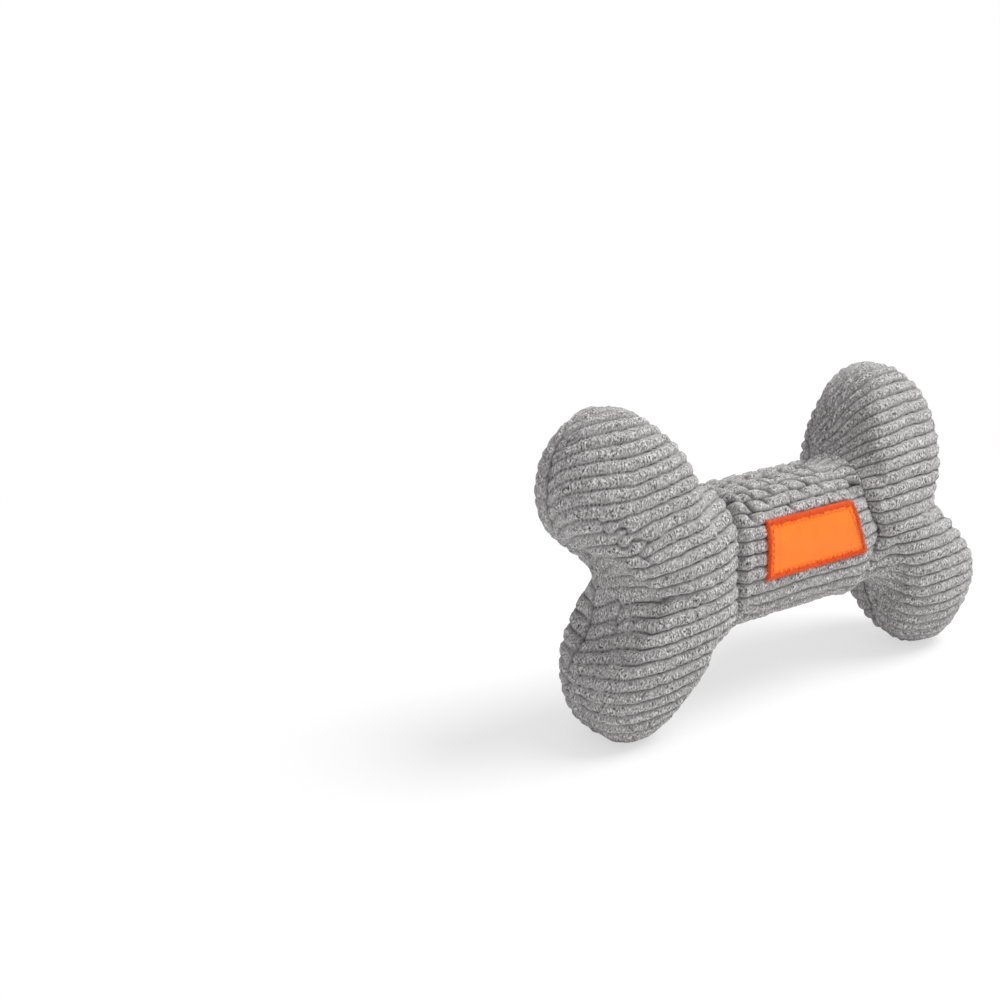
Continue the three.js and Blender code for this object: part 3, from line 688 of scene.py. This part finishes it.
# The crown of each rib: (1 - f^fullness)^shoulder from its middle to its valley, cut by bricks and creases
# and rounded off where it meets the seam
def ribbed(form):
    u, w = form["u"], form["w"]
    drift = ribs["wander"] * clothNoise(form, ribs["wanderCell"], seed=11)
    drift = drift + ribs["ripple"] * clothNoise(form, ribs["rippleCell"], seed=12) + gatherShift(form)
    number = (w - ribShift(form["block"], u, w) + drift) / ribs["pitch"] - ribs["phase"][form["block"]]
    number = number + np.where(form["side"] > 0, ribs["backPhase"], 0)
    cut = brickCut(form, number)
    for ends in creases[form["block"]]:
        aside, strength = creaseAt(form, ends)
        number = number + crease["shift"] * strength * np.where(aside > 0, bell(aside, crease["reach"]), 0)
        cut = cut * (1 - crease["depth"] * strength * bell(aside, crease["width"]))
    valley = 2 * np.abs(number - np.floor(number) - 0.5)
    crown = (1 - valley ** ribs["fullness"]) ** ribs["shoulder"]
    ease = 1 - np.minimum(form["fromSeam"] / ribs["roundEnd"], 1)
    return crown * np.sqrt(1 - ease ** 2) * cut


# The cloth over the form: ribs, pile, the seam's groove and the extra dips given
def clothOver(form, dips):
    crown = ribbed(form)
    x, y, z = np.moveaxis(form["points"], 2, 0)
    skewX, skewZ = (skew * y for skew in ribs["tuftSkew"])
    tufts = softNoise(x + skewX, z + skewZ, ribs["tuftCell"], seed=21)
    tufts = tufts + softNoise(x - skewX, z - skewZ, 2 * ribs["tuftCell"], seed=22)
    rise = ribs["height"] * (crown - ribs["sunk"]) + ribs["tuft"] * tufts
    rise = rise - ribs["seamDip"] * bell(form["fromSeam"], ribs["seamWidth"]) - dips
    points = form["points"] + normalsOf(form["points"]) * rise[..., None]
    points[..., 2] = np.maximum(points[..., 2], 0)
    return points, crown


# Slack places, where the cloth lies inside the full outline: centre on the flat cloth, depth and reach
slack = {
    "leftHead": ((-0.060, -0.060, 0.0035, 0.022), (-0.074, 0.074, 0.0020, 0.016)),
    "rightHead": ((0.118, -0.060, 0.0035, 0.022), (0.090, 0.074, 0.0020, 0.016)),
    "shaft": ((0.0330, 0.0205, 0.0026, 0.0045), (-0.030, -0.022, 0.0012, 0.006)),
}


# The dips of the slack places, each a bell of the distance from its centre
def slackDip(form):
    dip = 0
    for u, w, depth, reach in slack[form["block"]]:
        dip = dip + depth * np.exp(-((form["u"] - u) ** 2 + (form["w"] - w) ** 2) / reach ** 2)
    return dip


# Folds between the shaft and the heads, on each side of them, and how the right one fades over the top
folds = {
    "leftHead": {"depth": 0.0065, "radius": 0.0065, "bulge": 0.0014},
    "leftShaft": {"depth": 0.0050, "radius": 0.0032, "bulge": 0.0006},
    "rightShaft": {"depth": 0.0045, "radius": 0.0050, "bulge": 0.0012},
    "rightHead": {"depth": 0.0055, "radius": 0.0050, "bulge": 0.0},
}
foldFade = {"loss": 0.82, "from": 0.012, "to": 0.026}


# A fold's lip: the surface swells a little, then dives in a quarter round as it nears the fold
def lipDip(distance, fold):
    ease = 1 - np.minimum(distance / fold["radius"], 1)
    swell = fold["bulge"] * bell(distance - fold["radius"], fold["radius"])
    return fold["depth"] * (1 - np.sqrt(1 - ease ** 2)) - swell


# How deep the right fold is round the shaft: full below and in front, faint over the top
def rightFold(form):
    return 1 - foldFade["loss"] * smoothStep(form["w"], foldFade["from"], foldFade["to"])


# Distance along the grid's lines from its first row
def runFromStart(points):
    step = np.linalg.norm(np.diff(points, axis=0), axis=2)
    return np.concatenate([np.zeros((1, points.shape[1])), np.cumsum(step, axis=0)])


# Every line of a coarse grid read at the shares of a finer one, along the rows and round the ring
def refined(coarse, rowsAt, rows, columns):
    closed = np.concatenate([coarse, coarse[:, :1]], 1)
    around = np.linspace(0, coarse.shape[1], columns, endpoint=False)
    wide = np.stack([np.interp(around, np.arange(closed.shape[1]), line) for line in closed])
    return np.stack([np.interp(rows, rowsAt, line) for line in wide.T], 1)


head = {"rows": 132, "quarter": 140, "aspect": 2.4}


# The stuffing's push: a coarse copy of a head, held along its seam and at both ends, is blown up for a few
# frames with a little spare cloth, and what moved goes to the fine grid, capped and without its mean
puff = {
    "rows": 46, "quarter": 34, "reach": 0.985, "frames": 20, "cap": 0.0018, "held": 2, "still": 0.005,
    "cloth": {
        "quality": 6, "mass": 0.3, "tension_stiffness": 25, "compression_stiffness": 25,
        "shear_stiffness": 8, "bending_stiffness": 0.5, "air_damping": 4, "use_pressure": True,
        "uniform_pressure_force": 4.0, "vertex_group_mass": "held", "shrink_min": -0.03,
    },
}


def stuffingPush(block, rows, columns):
    coarseRows = np.linspace(0, puff["reach"], puff["rows"])
    share = 1 - coarseRows if block == "rightHead" else coarseRows
    form = stuffedForm(block, share, ringOf(puff["quarter"], head["aspect"]))
    points, faces = closeEnds(form["points"])
    balloon = addPiece("balloon", points, faces, pileMaterial)
    held = np.zeros(form["points"].shape[:2], bool)
    held[:puff["held"]] = True
    held[-puff["held"]:] = True
    held[:, [0, 2 * puff["quarter"]]] = True
    group = balloon.vertex_groups.new(name="held")
    group.add([int(k) for k in np.flatnonzero(held.ravel())] + [held.size, held.size + 1], 1.0, "REPLACE")
    cloth = balloon.modifiers.new("Cloth", "CLOTH")
    for key, value in puff["cloth"].items():
        setattr(cloth.settings, key, value)
    cloth.settings.effector_weights.gravity = 0
    cloth.collision_settings.use_collision = False
    scene = bpy.context.scene
    for step in range(1, puff["frames"] + 1):
        scene.frame_set(step)
    grown = balloon.evaluated_get(bpy.context.evaluated_depsgraph_get())
    place = np.zeros(len(grown.data.vertices) * 3)
    grown.data.vertices.foreach_get("co", place)
    moved = place.reshape(-1, 3)[:-2].reshape(form["points"].shape) - form["points"]
    bpy.data.objects.remove(balloon)
    scene.frame_set(1)
    push = (moved * normalsOf(form["points"])).sum(2)
    free = smoothStep(form["fromSeam"], 0, puff["still"])
    push = puff["cap"] * np.tanh((push - push[~held].mean() * free) / puff["cap"])
    print("pushed", block, "by", push.min().round(5), "to", push.max().round(5), "m")
    return refined(push, coarseRows, rows, columns)


# A head of the cover: sections from the waist to the notch, closed at the waist by a wall from front to back
def headCover(name, block):
    fromWaist = np.linspace(0, 1, head["rows"] + 1)
    share = fromWaist[::-1] if block == "rightHead" else fromWaist
    form = stuffedForm(block, share, ringOf(head["quarter"], head["aspect"]))
    push = stuffingPush(block, fromWaist, 4 * head["quarter"])
    lip = lipDip(runFromStart(form["points"]), folds[block])
    lip = lip * rightFold(form) if block == "rightHead" else lip
    points, crown = clothOver(form, lip + slackDip(form) + gatherDip(form) + creaseDip(form) - push)
    rows = points[:-1]
    index = numbered(rows)
    rim, last = index[0], index[-1]
    front = rim[:2 * head["quarter"] + 1]
    back = np.roll(rim, -1)[::-1][:2 * head["quarter"] + 1]
    wall = np.stack([front[1:], front[:-1], back[:-1], back[1:]], 1).tolist()
    faces = quadsOf(index, True).tolist() + [list(dict.fromkeys(face)) for face in wall]
    faces += fanOf(last, np.roll(last, -1), index.size)
    allPoints = np.concatenate([rows.reshape(-1, 3), [points[-1].mean(0)]])
    allCrown = np.append(crown[:-1].ravel(), crown[-1].mean())
    piece = addPiece(name, allPoints, faces, pileMaterial, values={"crown": allCrown, "place": allPoints})
    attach(piece, "body")
    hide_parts("front_panel", "back_panel")


# A half of the shaft's cover: the cloth and its wrong side, closed round the edge
shaft = {
    "rows": 120, "quarter": 90, "aspect": 1.32, "thickness": 0.0016, "grooveAt": 0.0075,
    "grooveDepth": 0.0011, "grooveWidth": 0.0016, "stillTo": 0.003, "pressedFrom": 0.0185,
}


# The shallow groove that parts a narrow roll of cloth at the left fold from the rest of the shaft
def rollGroove(fromLeft):
    return shaft["grooveDepth"] * bell(fromLeft - shaft["grooveAt"], shaft["grooveWidth"])


def shaftCover(name, side):
    share = np.linspace(0, 1, shaft["rows"] + 1)
    form = stuffedForm("shaft", share, ringOf(shaft["quarter"], shaft["aspect"]))
    fromRight = runFromStart(form["points"])
    fromLeft = fromRight[-1] - fromRight
    dips = lipDip(fromRight, folds["rightShaft"]) * rightFold(form) + lipDip(fromLeft, folds["leftShaft"])
    dips = dips + rollGroove(fromLeft) + slackDip(form) + gatherDip(form)
    points, crown = clothOver(form, dips)
    sunk = dips + shaft["thickness"] + ribs["height"] * ribs["sunk"]
    under = form["points"] - normalsOf(form["points"]) * sunk[..., None]
    half = 2 * shaft["quarter"]
    columns = np.arange(half + 1) if side < 0 else np.arange(half, 2 * half + 1) % (2 * half)
    outer, inner = points[:, columns], under[:, columns]
    index = numbered(outer)
    allPoints = np.concatenate([outer.reshape(-1, 3), inner.reshape(-1, 3)])
    allCrown = np.concatenate([crown[:, columns].ravel(), np.zeros(index.size)])
    piece = addPiece(name, allPoints, slabFaces(index), pileMaterial,
                     values={"crown": allCrown, "place": allPoints})
    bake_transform(piece)
    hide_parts("front_panel" if side < 0 else "back_panel")


headCover("left_head_cover", "leftHead")
headCover("right_head_cover", "rightHead")
shaftCover("shaft_front_cover", -1)
shaftCover("shaft_back_cover", 1)
print("cover sewn")

# The label on the shaft's front, its right edge leaning with the waist
label = {
    "width": 0.056, "height": 0.0234, "shift": 0.0032, "raise": 0.006, "lean": 0.0045, "lift": 0.00045,
    "thickness": 0.0008, "corner": 0.0008, "cornerDrop": 0.4, "across": 112, "up": 48,
    "furthest": 0.999, "probe": 1e-4,
}


# The front of the shaft over a point of the seam's plane, and the way out of it:
# depth (1 - (rise / half height)^p)^(1/p) on the row that passes there
def frontAt(x, rise, lift):
    def place(x, rise):
        spread = np.minimum(np.abs(rise) / bone["shaftHalf"], label["furthest"])
        length = bone["rightWaist"] - bone["leftWaist"]
        loss = np.where(rise > 0, (bone["rightWaist"] - bone["rightWaistTop"]) / length, 0)
        middle = (x - bone["leftWaist"] * loss * spread) / (1 - loss * spread)
        depth, _ = halfDepth(middle, np.full_like(middle, 1.0), 0.0)
        y = -depth * (1 - spread ** bone["power"]) ** (1 / bone["power"])
        return twisted(np.stack([x, y, rise + bone["axis"]], -1))
    step = label["probe"]
    point = place(x, rise)
    normal = np.cross(place(x + step, rise) - point, place(x, rise + step) - point)
    normal /= np.linalg.norm(normal, axis=-1)[..., None]
    return point + shaftMiddle + normal * np.asarray(lift)[..., None], normal


# A point of the label from its shares across and up, each from -1 to 1, moved in from its edges by an inset
def labelPlan(across, up, inset=0.0):
    rise = label["raise"] + up * (label["height"] / 2 - inset)
    lean = -label["lean"] * np.asarray(up) * (1 + np.asarray(across)) / 2
    x = label["shift"] + across * (label["width"] / 2 - inset) + lean
    return x, rise


def labelPatch():
    shares = [np.linspace(-1, 1, label[way] + 1) for way in ("across", "up")]
    across, up = np.meshgrid(*shares, indexing="ij")
    x, rise = labelPlan(across, up)
    edge = np.minimum((1 - np.abs(across)) * label["width"] / 2, (1 - np.abs(up)) * label["height"] / 2)
    corner = {"depth": label["cornerDrop"] * label["thickness"], "radius": label["corner"], "bulge": 0.0}
    top, _ = frontAt(x, rise, label["lift"] + label["thickness"] - lipDip(edge, corner))
    bottom, _ = frontAt(x, rise, np.full_like(x, label["lift"]))
    points = np.concatenate([top.reshape(-1, 3), bottom.reshape(-1, 3)])
    uv = np.stack([x.ravel(), rise.ravel()], 1) * 1000
    piece = addPiece("label_satin_patch", points, slabFaces(numbered(x)), labelMaterial,
                     np.concatenate([uv, uv]))
    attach(piece, "front_press")
    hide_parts("label_patch")
    return piece


# Short threads as tubes: each follows its own row of points, tapered to closed ends
tube = {"sides": 6, "taper": 0.93, "taperPower": 6}


def threadTubes(name, paths, sideways, radius, material):
    count, length = paths.shape[:2]
    ahead = np.gradient(paths, axis=1)
    ahead /= np.linalg.norm(ahead, axis=2)[..., None]
    first = sideways - ahead * (sideways * ahead).sum(2)[..., None]
    first /= np.linalg.norm(first, axis=2)[..., None]
    second = np.cross(ahead, first)
    taper = radius * np.sqrt(1 - (tube["taper"] * np.linspace(-1, 1, length)) ** tube["taperPower"])
    turn = np.arange(tube["sides"]) * 2 * math.pi / tube["sides"]
    ring = first[:, :, None] * np.cos(turn)[:, None] + second[:, :, None] * np.sin(turn)[:, None]
    points = paths[:, :, None] + ring * taper[None, :, None, None]
    index = np.arange(count * length * tube["sides"]).reshape(count, length, tube["sides"])
    around = np.roll(index, -1, 2)
    quads = np.stack([index[:, :-1], around[:, :-1], around[:, 1:], index[:, 1:]], -1).reshape(-1, 4)
    faces = quads.tolist() + index[:, 0, ::-1].tolist() + index[:, -1].tolist()
    return addPiece(name, points, faces, material)


# Places along the label's outline, inset from it, as shares across and up, and which are on its left or right
def alongLabel(pitch, inset):
    width, height = label["width"] - 2 * inset, label["height"] - 2 * inset
    edges = []
    for alongX, sign, length in ((1, -1, width), (0, 1, height), (1, 1, width), (0, -1, height)):
        steps = int(round(length / pitch))
        share = ((np.arange(steps) + 0.5) / steps * 2 - 1) * (-sign if alongX else sign)
        fixed = np.full(steps, float(sign))
        edges.append(np.stack([share, fixed] if alongX else [fixed, share], 1))
    spot = np.concatenate(edges)
    return spot, np.abs(spot[:, :1]) >= 1


# Each overlock thread: its places in from the edge in shares of its width, and its heights in millimetres
overlock = {
    "pitch": 0.00115, "width": 0.0017, "radius": 0.00036, "slant": 0.8, "wobble": 0.30,
    "inward": (1.0, 0.72, 0.4, 0.1, -0.15, -0.28), "rise": (0.02, 0.34, 0.46, 0.38, -0.10, -0.80),
}


# Overlocked edge: threads laid from inside the edge, over it and down its side, each leaning along the edge
def labelBorder():
    spot, onSide = alongLabel(overlock["pitch"], 0.0)
    inset = np.array(overlock["inward"]) * overlock["width"]
    height = np.array(overlock["rise"]) * 0.001
    wobble = 1 + overlock["wobble"] * softNoise(np.arange(len(spot)) * 1.0, np.zeros(len(spot)), 1.0, seed=31)
    across = np.repeat(spot[:, :1], len(inset), 1)
    up = np.repeat(spot[:, 1:], len(inset), 1)
    lean = overlock["slant"] * overlock["pitch"] * np.linspace(1, -1, len(inset))
    across = np.where(onSide, np.sign(across) * (1 - 2 * inset * wobble[:, None] / label["width"]),
                      across + 2 * lean / label["width"])
    up = np.where(onSide, up + 2 * lean / label["height"],
                  np.sign(up) * (1 - 2 * inset * wobble[:, None] / label["height"]))
    x, rise = labelPlan(across, up)
    lift = label["lift"] + label["thickness"] + np.broadcast_to(height, x.shape)
    paths, normal = frontAt(x, rise, lift)
    piece = threadTubes("label_overlock_border", paths, normal, overlock["radius"], borderMaterial)
    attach(piece, "front_press")
    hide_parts("label_border")
    return piece


stitch = {
    "pitch": 0.0026, "length": 0.0019, "inset": 0.0026, "radius": 0.00028, "rise": 0.00026,
    "sunk": 0.00008, "points": 6,
}


# The line of stitches inside the border: each rises out of the satin in a parabola and goes back in
def labelStitches():
    spot, onSide = alongLabel(stitch["pitch"], stitch["inset"])
    along = np.linspace(-0.5, 0.5, stitch["points"]) * stitch["length"]
    rise = stitch["rise"] * (1 - (along / along.max()) ** 2)
    lift = label["lift"] + label["thickness"] + rise - stitch["sunk"]
    innerWidth, innerHeight = label["width"] - 2 * stitch["inset"], label["height"] - 2 * stitch["inset"]
    across = spot[:, :1] + np.where(onSide, 0, 2 * along / innerWidth)
    up = spot[:, 1:] + np.where(onSide, 2 * along / innerHeight, 0)
    x, rise = labelPlan(across, up, stitch["inset"])
    paths, normal = frontAt(x, rise, np.broadcast_to(lift, x.shape))
    piece = threadTubes("label_stitch_line", paths, normal, stitch["radius"], stitchMaterial)
    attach(piece, "front_press")
    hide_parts("label_stitch")
    return piece


# The label was cut as wide as its lower edge, and its right edge leans
patch = labelPatch()
labelBorder()
labelStitches()
print("label sewn on")

# Stuffing: a lumpy wad in each lobe, inside the cover and parted at the waists and between the lobes
wad = {
    "inset": 0.0052, "rows": 40, "quarter": 30, "wallRows": 7, "lump": 0.0011, "lumpCell": 0.011,
    "parting": 0.0006, "start": 0.065, "end": 0.97,
}


# Half of a head's form, moved in by its lumps, closed by a flat wall where the other half begins
def lobeWad(name, block, half, node):
    share = np.linspace(wad["start"], wad["end"], wad["rows"] + 1)
    if block == "rightHead":
        share = 1 - share
    quarter = wad["quarter"]
    form = stuffedForm(block, share, ringOf(quarter, head["aspect"]), wad["inset"])
    columns = np.arange(quarter, 3 * quarter + 1) if half > 0 else np.arange(-quarter, quarter + 1)
    lumps = wad["lump"] * (clothNoise(form, wad["lumpCell"], seed=41) - 1)
    points = (form["points"] + normalsOf(form["points"]) * lumps[..., None])[:, columns]
    closing = np.linspace(0, 1, wad["wallRows"] + 2)[1:-1, None, None]
    wall = points[:, -1] + (points[:, 0] - points[:, -1]) * closing
    points = np.concatenate([points, wall.transpose(1, 0, 2)], 1)
    points[..., 2] += half * wad["parting"]
    piece = addPiece(name, *closeEnds(points), fibreMaterial)
    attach(piece, "body")
    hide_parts(node)


lobeWad("left_upper_wad", "leftHead", 1, "left_upper_fill")
lobeWad("left_lower_wad", "leftHead", -1, "left_lower_fill")
lobeWad("right_upper_wad", "rightHead", 1, "right_upper_fill")
lobeWad("right_lower_wad", "rightHead", -1, "right_lower_fill")

# The shaft's wad: a roll of fibre round the bulb, open where the whistle's neck comes out
roll = {
    "inner": 0.0235, "leftEnd": 0.0355, "rightEnd": 0.0385, "halfHeight": 0.0255, "cornerPower": 4,
    "depth": 0.0165, "depthPower": 0.8, "topShare": 0.60, "gap": math.radians(28), "steps": 96,
    "sides": 36, "lump": 0.05, "lumpsAlong": 3, "lumpsAround": 2, "keep": 0.6,
}


# Sections round the bulb, from its edge out to (|x / end|^p + |z / half height|^p)^(-1/p)
def shaftWad():
    turn = np.linspace(roll["gap"], 2 * math.pi - roll["gap"], roll["steps"] + 1)
    cos, sin = np.cos(turn), np.sin(turn)
    reachX = np.where(cos > 0, roll["rightEnd"], roll["leftEnd"])
    power = roll["cornerPower"]
    outer = (np.abs(cos / reachX) ** power + np.abs(sin / roll["halfHeight"]) ** power) ** (-1 / power)
    section = np.linspace(0, 2 * math.pi, roll["sides"], endpoint=False)
    middle, half = (outer + roll["inner"]) / 2, (outer - roll["inner"]) / 2
    radial = middle[:, None] + half[:, None] * np.cos(section)
    depth = roll["depth"] * (roll["topShare"] + (1 - roll["topShare"]) * cos ** 2)
    y = depth[:, None] * np.sign(np.sin(section)) * np.abs(np.sin(section)) ** roll["depthPower"]
    lumps = softNoise(turn[:, None] * roll["lumpsAlong"], section[None] * roll["lumpsAround"], 1.0, seed=43)
    points = np.stack([radial * cos[:, None], y * (1 + roll["lump"] * lumps), radial * sin[:, None]], -1)
    piece = addPiece("shaft_wad", *closeEnds(points + shaftCentre), fibreMaterial)
    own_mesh(piece)
    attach(piece, "body")
    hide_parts("shaft_fill")


shaftWad()

# A shape turned round the Y axis through the shaft's middle: distance out and depth along a profile
turned = {"sides": 64, "poleGap": 0.02}


def turnedPoints(out, depth):
    turn = np.linspace(0, 2 * math.pi, turned["sides"], endpoint=False)
    depth = depth[:, None] * np.ones_like(turn)
    return np.stack([out[:, None] * np.cos(turn), depth, out[:, None] * np.sin(turn)], -1) + shaftCentre


pad = {
    "radius": 0.0172, "seat": 0.0112, "bulbRoom": 0.0126, "bulbGap": 0.0005, "face": 0.0190,
    "edge": 0.0150, "rows": 26, "lump": 0.0004, "lumpCell": 0.006,
}


# A pad of fibre before or behind the bulb: hollow towards the bulb, crowned by a parabola towards the cloth
def pressPad(name, side, node, body):
    out = pad["radius"] * np.sin(np.linspace(turned["poleGap"], math.pi / 2, pad["rows"]))
    hollow = pad["bulbRoom"] * np.sqrt(1 - (out / (bone["bulbRadius"] + pad["bulbGap"])) ** 2)
    inside = np.maximum(pad["seat"], hollow)
    outside = pad["edge"] + (pad["face"] - pad["edge"]) * (1 - (out / pad["radius"]) ** 2)
    points = turnedPoints(np.concatenate([out, out[::-1]]), side * np.concatenate([inside, outside[::-1]]))
    lump = pad["lump"] * softNoise(points[..., 0], points[..., 2], pad["lumpCell"], seed=47)
    points[..., 1] += np.where(np.arange(len(points))[:, None] < pad["rows"], 0, -side * np.abs(lump))
    piece = addPiece(name, *closeEnds(points), fibreMaterial)
    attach(piece, body)
    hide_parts(node)


pressPad("front_press_pad", -1, "front_pad", "front_press")
pressPad("back_press_pad", 1, "back_pad", "back_press")

bulb = {"halfDepth": 0.012, "seam": 0.0005, "seamWidth": 0.0006, "rows": 60, "keep": 0.29}


# The squeaker's bulb: a flattened ball with the moulding's parting line round its edge
def squeakerBulb():
    pole = math.pi / 2 - turned["poleGap"]
    turn = np.linspace(-pole, pole, bulb["rows"])
    out = bone["bulbRadius"] * np.cos(turn)
    depth = bulb["halfDepth"] * np.sin(turn)
    out = out + bulb["seam"] * (bell(depth, bulb["seamWidth"]) - 1)
    piece = addPiece("squeaker_bulb_shell", *closeEnds(turnedPoints(out, depth)), bulbMaterial)
    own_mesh(piece)
    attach(piece, "body")
    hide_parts("squeaker_bulb")


# The neck's profile, outside and back through its bore: from which end and which radius, and how far off each
neck = {
    "start": 0.0195, "end": 0.0285, "outer": 0.0064, "bore": 0.005, "sides": 48,
    "profile": (
        ("start", 0, "outer", 0.0008), ("start", 0.001, "outer", 0.0002), ("start", 0.0025, "outer", 0),
        ("end", -0.0004, "outer", 0), ("end", 0, "outer", -0.0004), ("end", 0, "bore", 0.0004),
        ("end", -0.0004, "bore", 0), ("start", 0.002, "bore", 0), ("start", 0, "bore", 0),
    ),
}


# The bulb's neck: a tube along +X with a rolled lip, open for the whistle
def squeakerNeck():
    along = np.array([neck[end] + off for end, off, _, _ in neck["profile"]])[:, None]
    radius = np.array([neck[wall] + off for _, _, wall, off in neck["profile"]])[:, None]
    turn = np.linspace(0, 2 * math.pi, neck["sides"], endpoint=False)
    along = along * np.ones_like(turn)
    points = np.stack([along, radius * np.cos(turn), radius * np.sin(turn)], -1) + shaftCentre
    index = numbered(points)
    faces = quadsOf(np.concatenate([index, index[:1]]), True)
    piece = addPiece("squeaker_bulb_neck", points, faces, bulbMaterial)
    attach(piece, "body")
    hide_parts("squeaker_bulb")


squeakerBulb()
squeakerNeck()

# Nodes that keep their own shape get the finish of their piece
keptNodes = {
    "seam_thread": seamMaterial, "closing_thread": seamMaterial, "whistle_barrel": whistleMaterial,
    "reed_block": whistleMaterial, "reed_clamp": whistleMaterial, "reed": reedMaterial,
}
for nodeName, finish in keptNodes.items():
    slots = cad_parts[nodeName].data.materials
    slots.clear()
    slots.append(finish)
print("stuffing and squeaker placed")

# Studio: a pale floor that turns white away from the toy, a key lamp above and to the right, a weak fill
studio = {
    "floorHalf": 30.0, "floorColour": (0.93, 0.93, 0.93, 1), "floorRoughness": 0.9,
    "floorSpecular": 0.1, "white": (1, 1, 1, 1), "whiteNear": 0.60, "whiteFrom": 0.12, "whiteTo": 0.60,
    "sky": 0.54, "keyPower": 43.0, "keyAt": (0.95, -0.62, 1.90), "keySize": 1.3, "fillPower": 0.8,
    "fillAt": (-1.2, -0.9, 0.9), "fillSize": 1.2,
}


def addFloor():
    reach = studio["floorHalf"]
    mesh = bpy.data.meshes.new("floor")
    corners = [(-reach, -reach, 0), (reach, -reach, 0), (reach, reach, 0), (-reach, reach, 0)]
    mesh.from_pydata(corners, [], [(0, 1, 2, 3)])
    material, tree, shader = newMaterial("floorPaper")
    place = addNode(tree, "ShaderNodeTexCoord").outputs["Object"]
    away = addNode(tree, "ShaderNodeVectorMath", {0: place}, operation="LENGTH").outputs["Value"]
    white = addRange(tree, away, studio["whiteFrom"], studio["whiteTo"], studio["whiteNear"], 1,
                     interpolation_type="SMOOTHSTEP")
    rays = addNode(tree, "ShaderNodeLightPath")
    seen = addMath(tree, "MULTIPLY", white, rays.outputs["Is Camera Ray"])
    glow = addNode(tree, "ShaderNodeEmission", {"Color": studio["white"], "Strength": 1.0})
    mixed = addNode(tree, "ShaderNodeMixShader", {
        0: seen, 1: shader.outputs["BSDF"], 2: glow.outputs["Emission"]})
    feed(tree, tree.nodes["Material Output"], {"Surface": mixed.outputs["Shader"]})
    feed(tree, shader, {"Base Color": studio["floorColour"], "Roughness": studio["floorRoughness"],
                        "Specular IOR Level": studio["floorSpecular"]})
    mesh.materials.append(material)
    placed("floor", mesh)


def addSky():
    world = bpy.data.worlds.new("studioSky")
    world.use_nodes = True
    bpy.context.scene.world = world
    tree = world.node_tree
    plain = feed(tree, tree.nodes["Background"], {"Color": studio["white"], "Strength": studio["sky"]})
    shown = addNode(tree, "ShaderNodeBackground", {"Color": studio["white"], "Strength": 1.0})
    rays = addNode(tree, "ShaderNodeLightPath")
    mixed = addNode(tree, "ShaderNodeMixShader", {
        0: rays.outputs["Is Camera Ray"], 1: plain.outputs["Background"], 2: shown.outputs["Background"]})
    feed(tree, tree.nodes["World Output"], {"Surface": mixed.outputs["Shader"]})


def addLamp(name, place, size, power):
    lamp = bpy.data.lights.new(name, "AREA")
    lamp.shape = "DISK"
    lamp.size = size
    lamp.energy = power
    holder = placed(name, lamp)
    holder.location = place
    aim = Vector((0, 0, bone["axis"])) - Vector(place)
    holder.rotation_euler = aim.to_track_quat("-Z", "Y").to_euler()


# Camera at the photograph's place: it stands to the left of the label and looks past the toy's left end
view = {
    "at": (-0.41766, -0.37269, 0.24873), "turn": -36.144, "tilt": -16.659, "lens": 48.235,
    "sensor": 36.0, "nearest": 0.01, "furthest": 200,
}


def addCamera():
    lens = bpy.data.cameras.new("photoCamera")
    lens.lens = view["lens"]
    lens.sensor_width = view["sensor"]
    lens.clip_start = view["nearest"]
    lens.clip_end = view["furthest"]
    camera = placed("photoCamera", lens)
    camera.location = view["at"]
    camera.rotation_euler = (math.radians(90 + view["tilt"]), 0, math.radians(view["turn"]))
    bpy.context.scene.camera = camera


addFloor()
addSky()
addLamp("keyLamp", studio["keyAt"], studio["keySize"], studio["keyPower"])
addLamp("fillLamp", studio["fillAt"], studio["fillSize"], studio["fillPower"])
addCamera()
bpy.context.scene.view_settings.view_transform = "Standard"
print("studio and camera set")
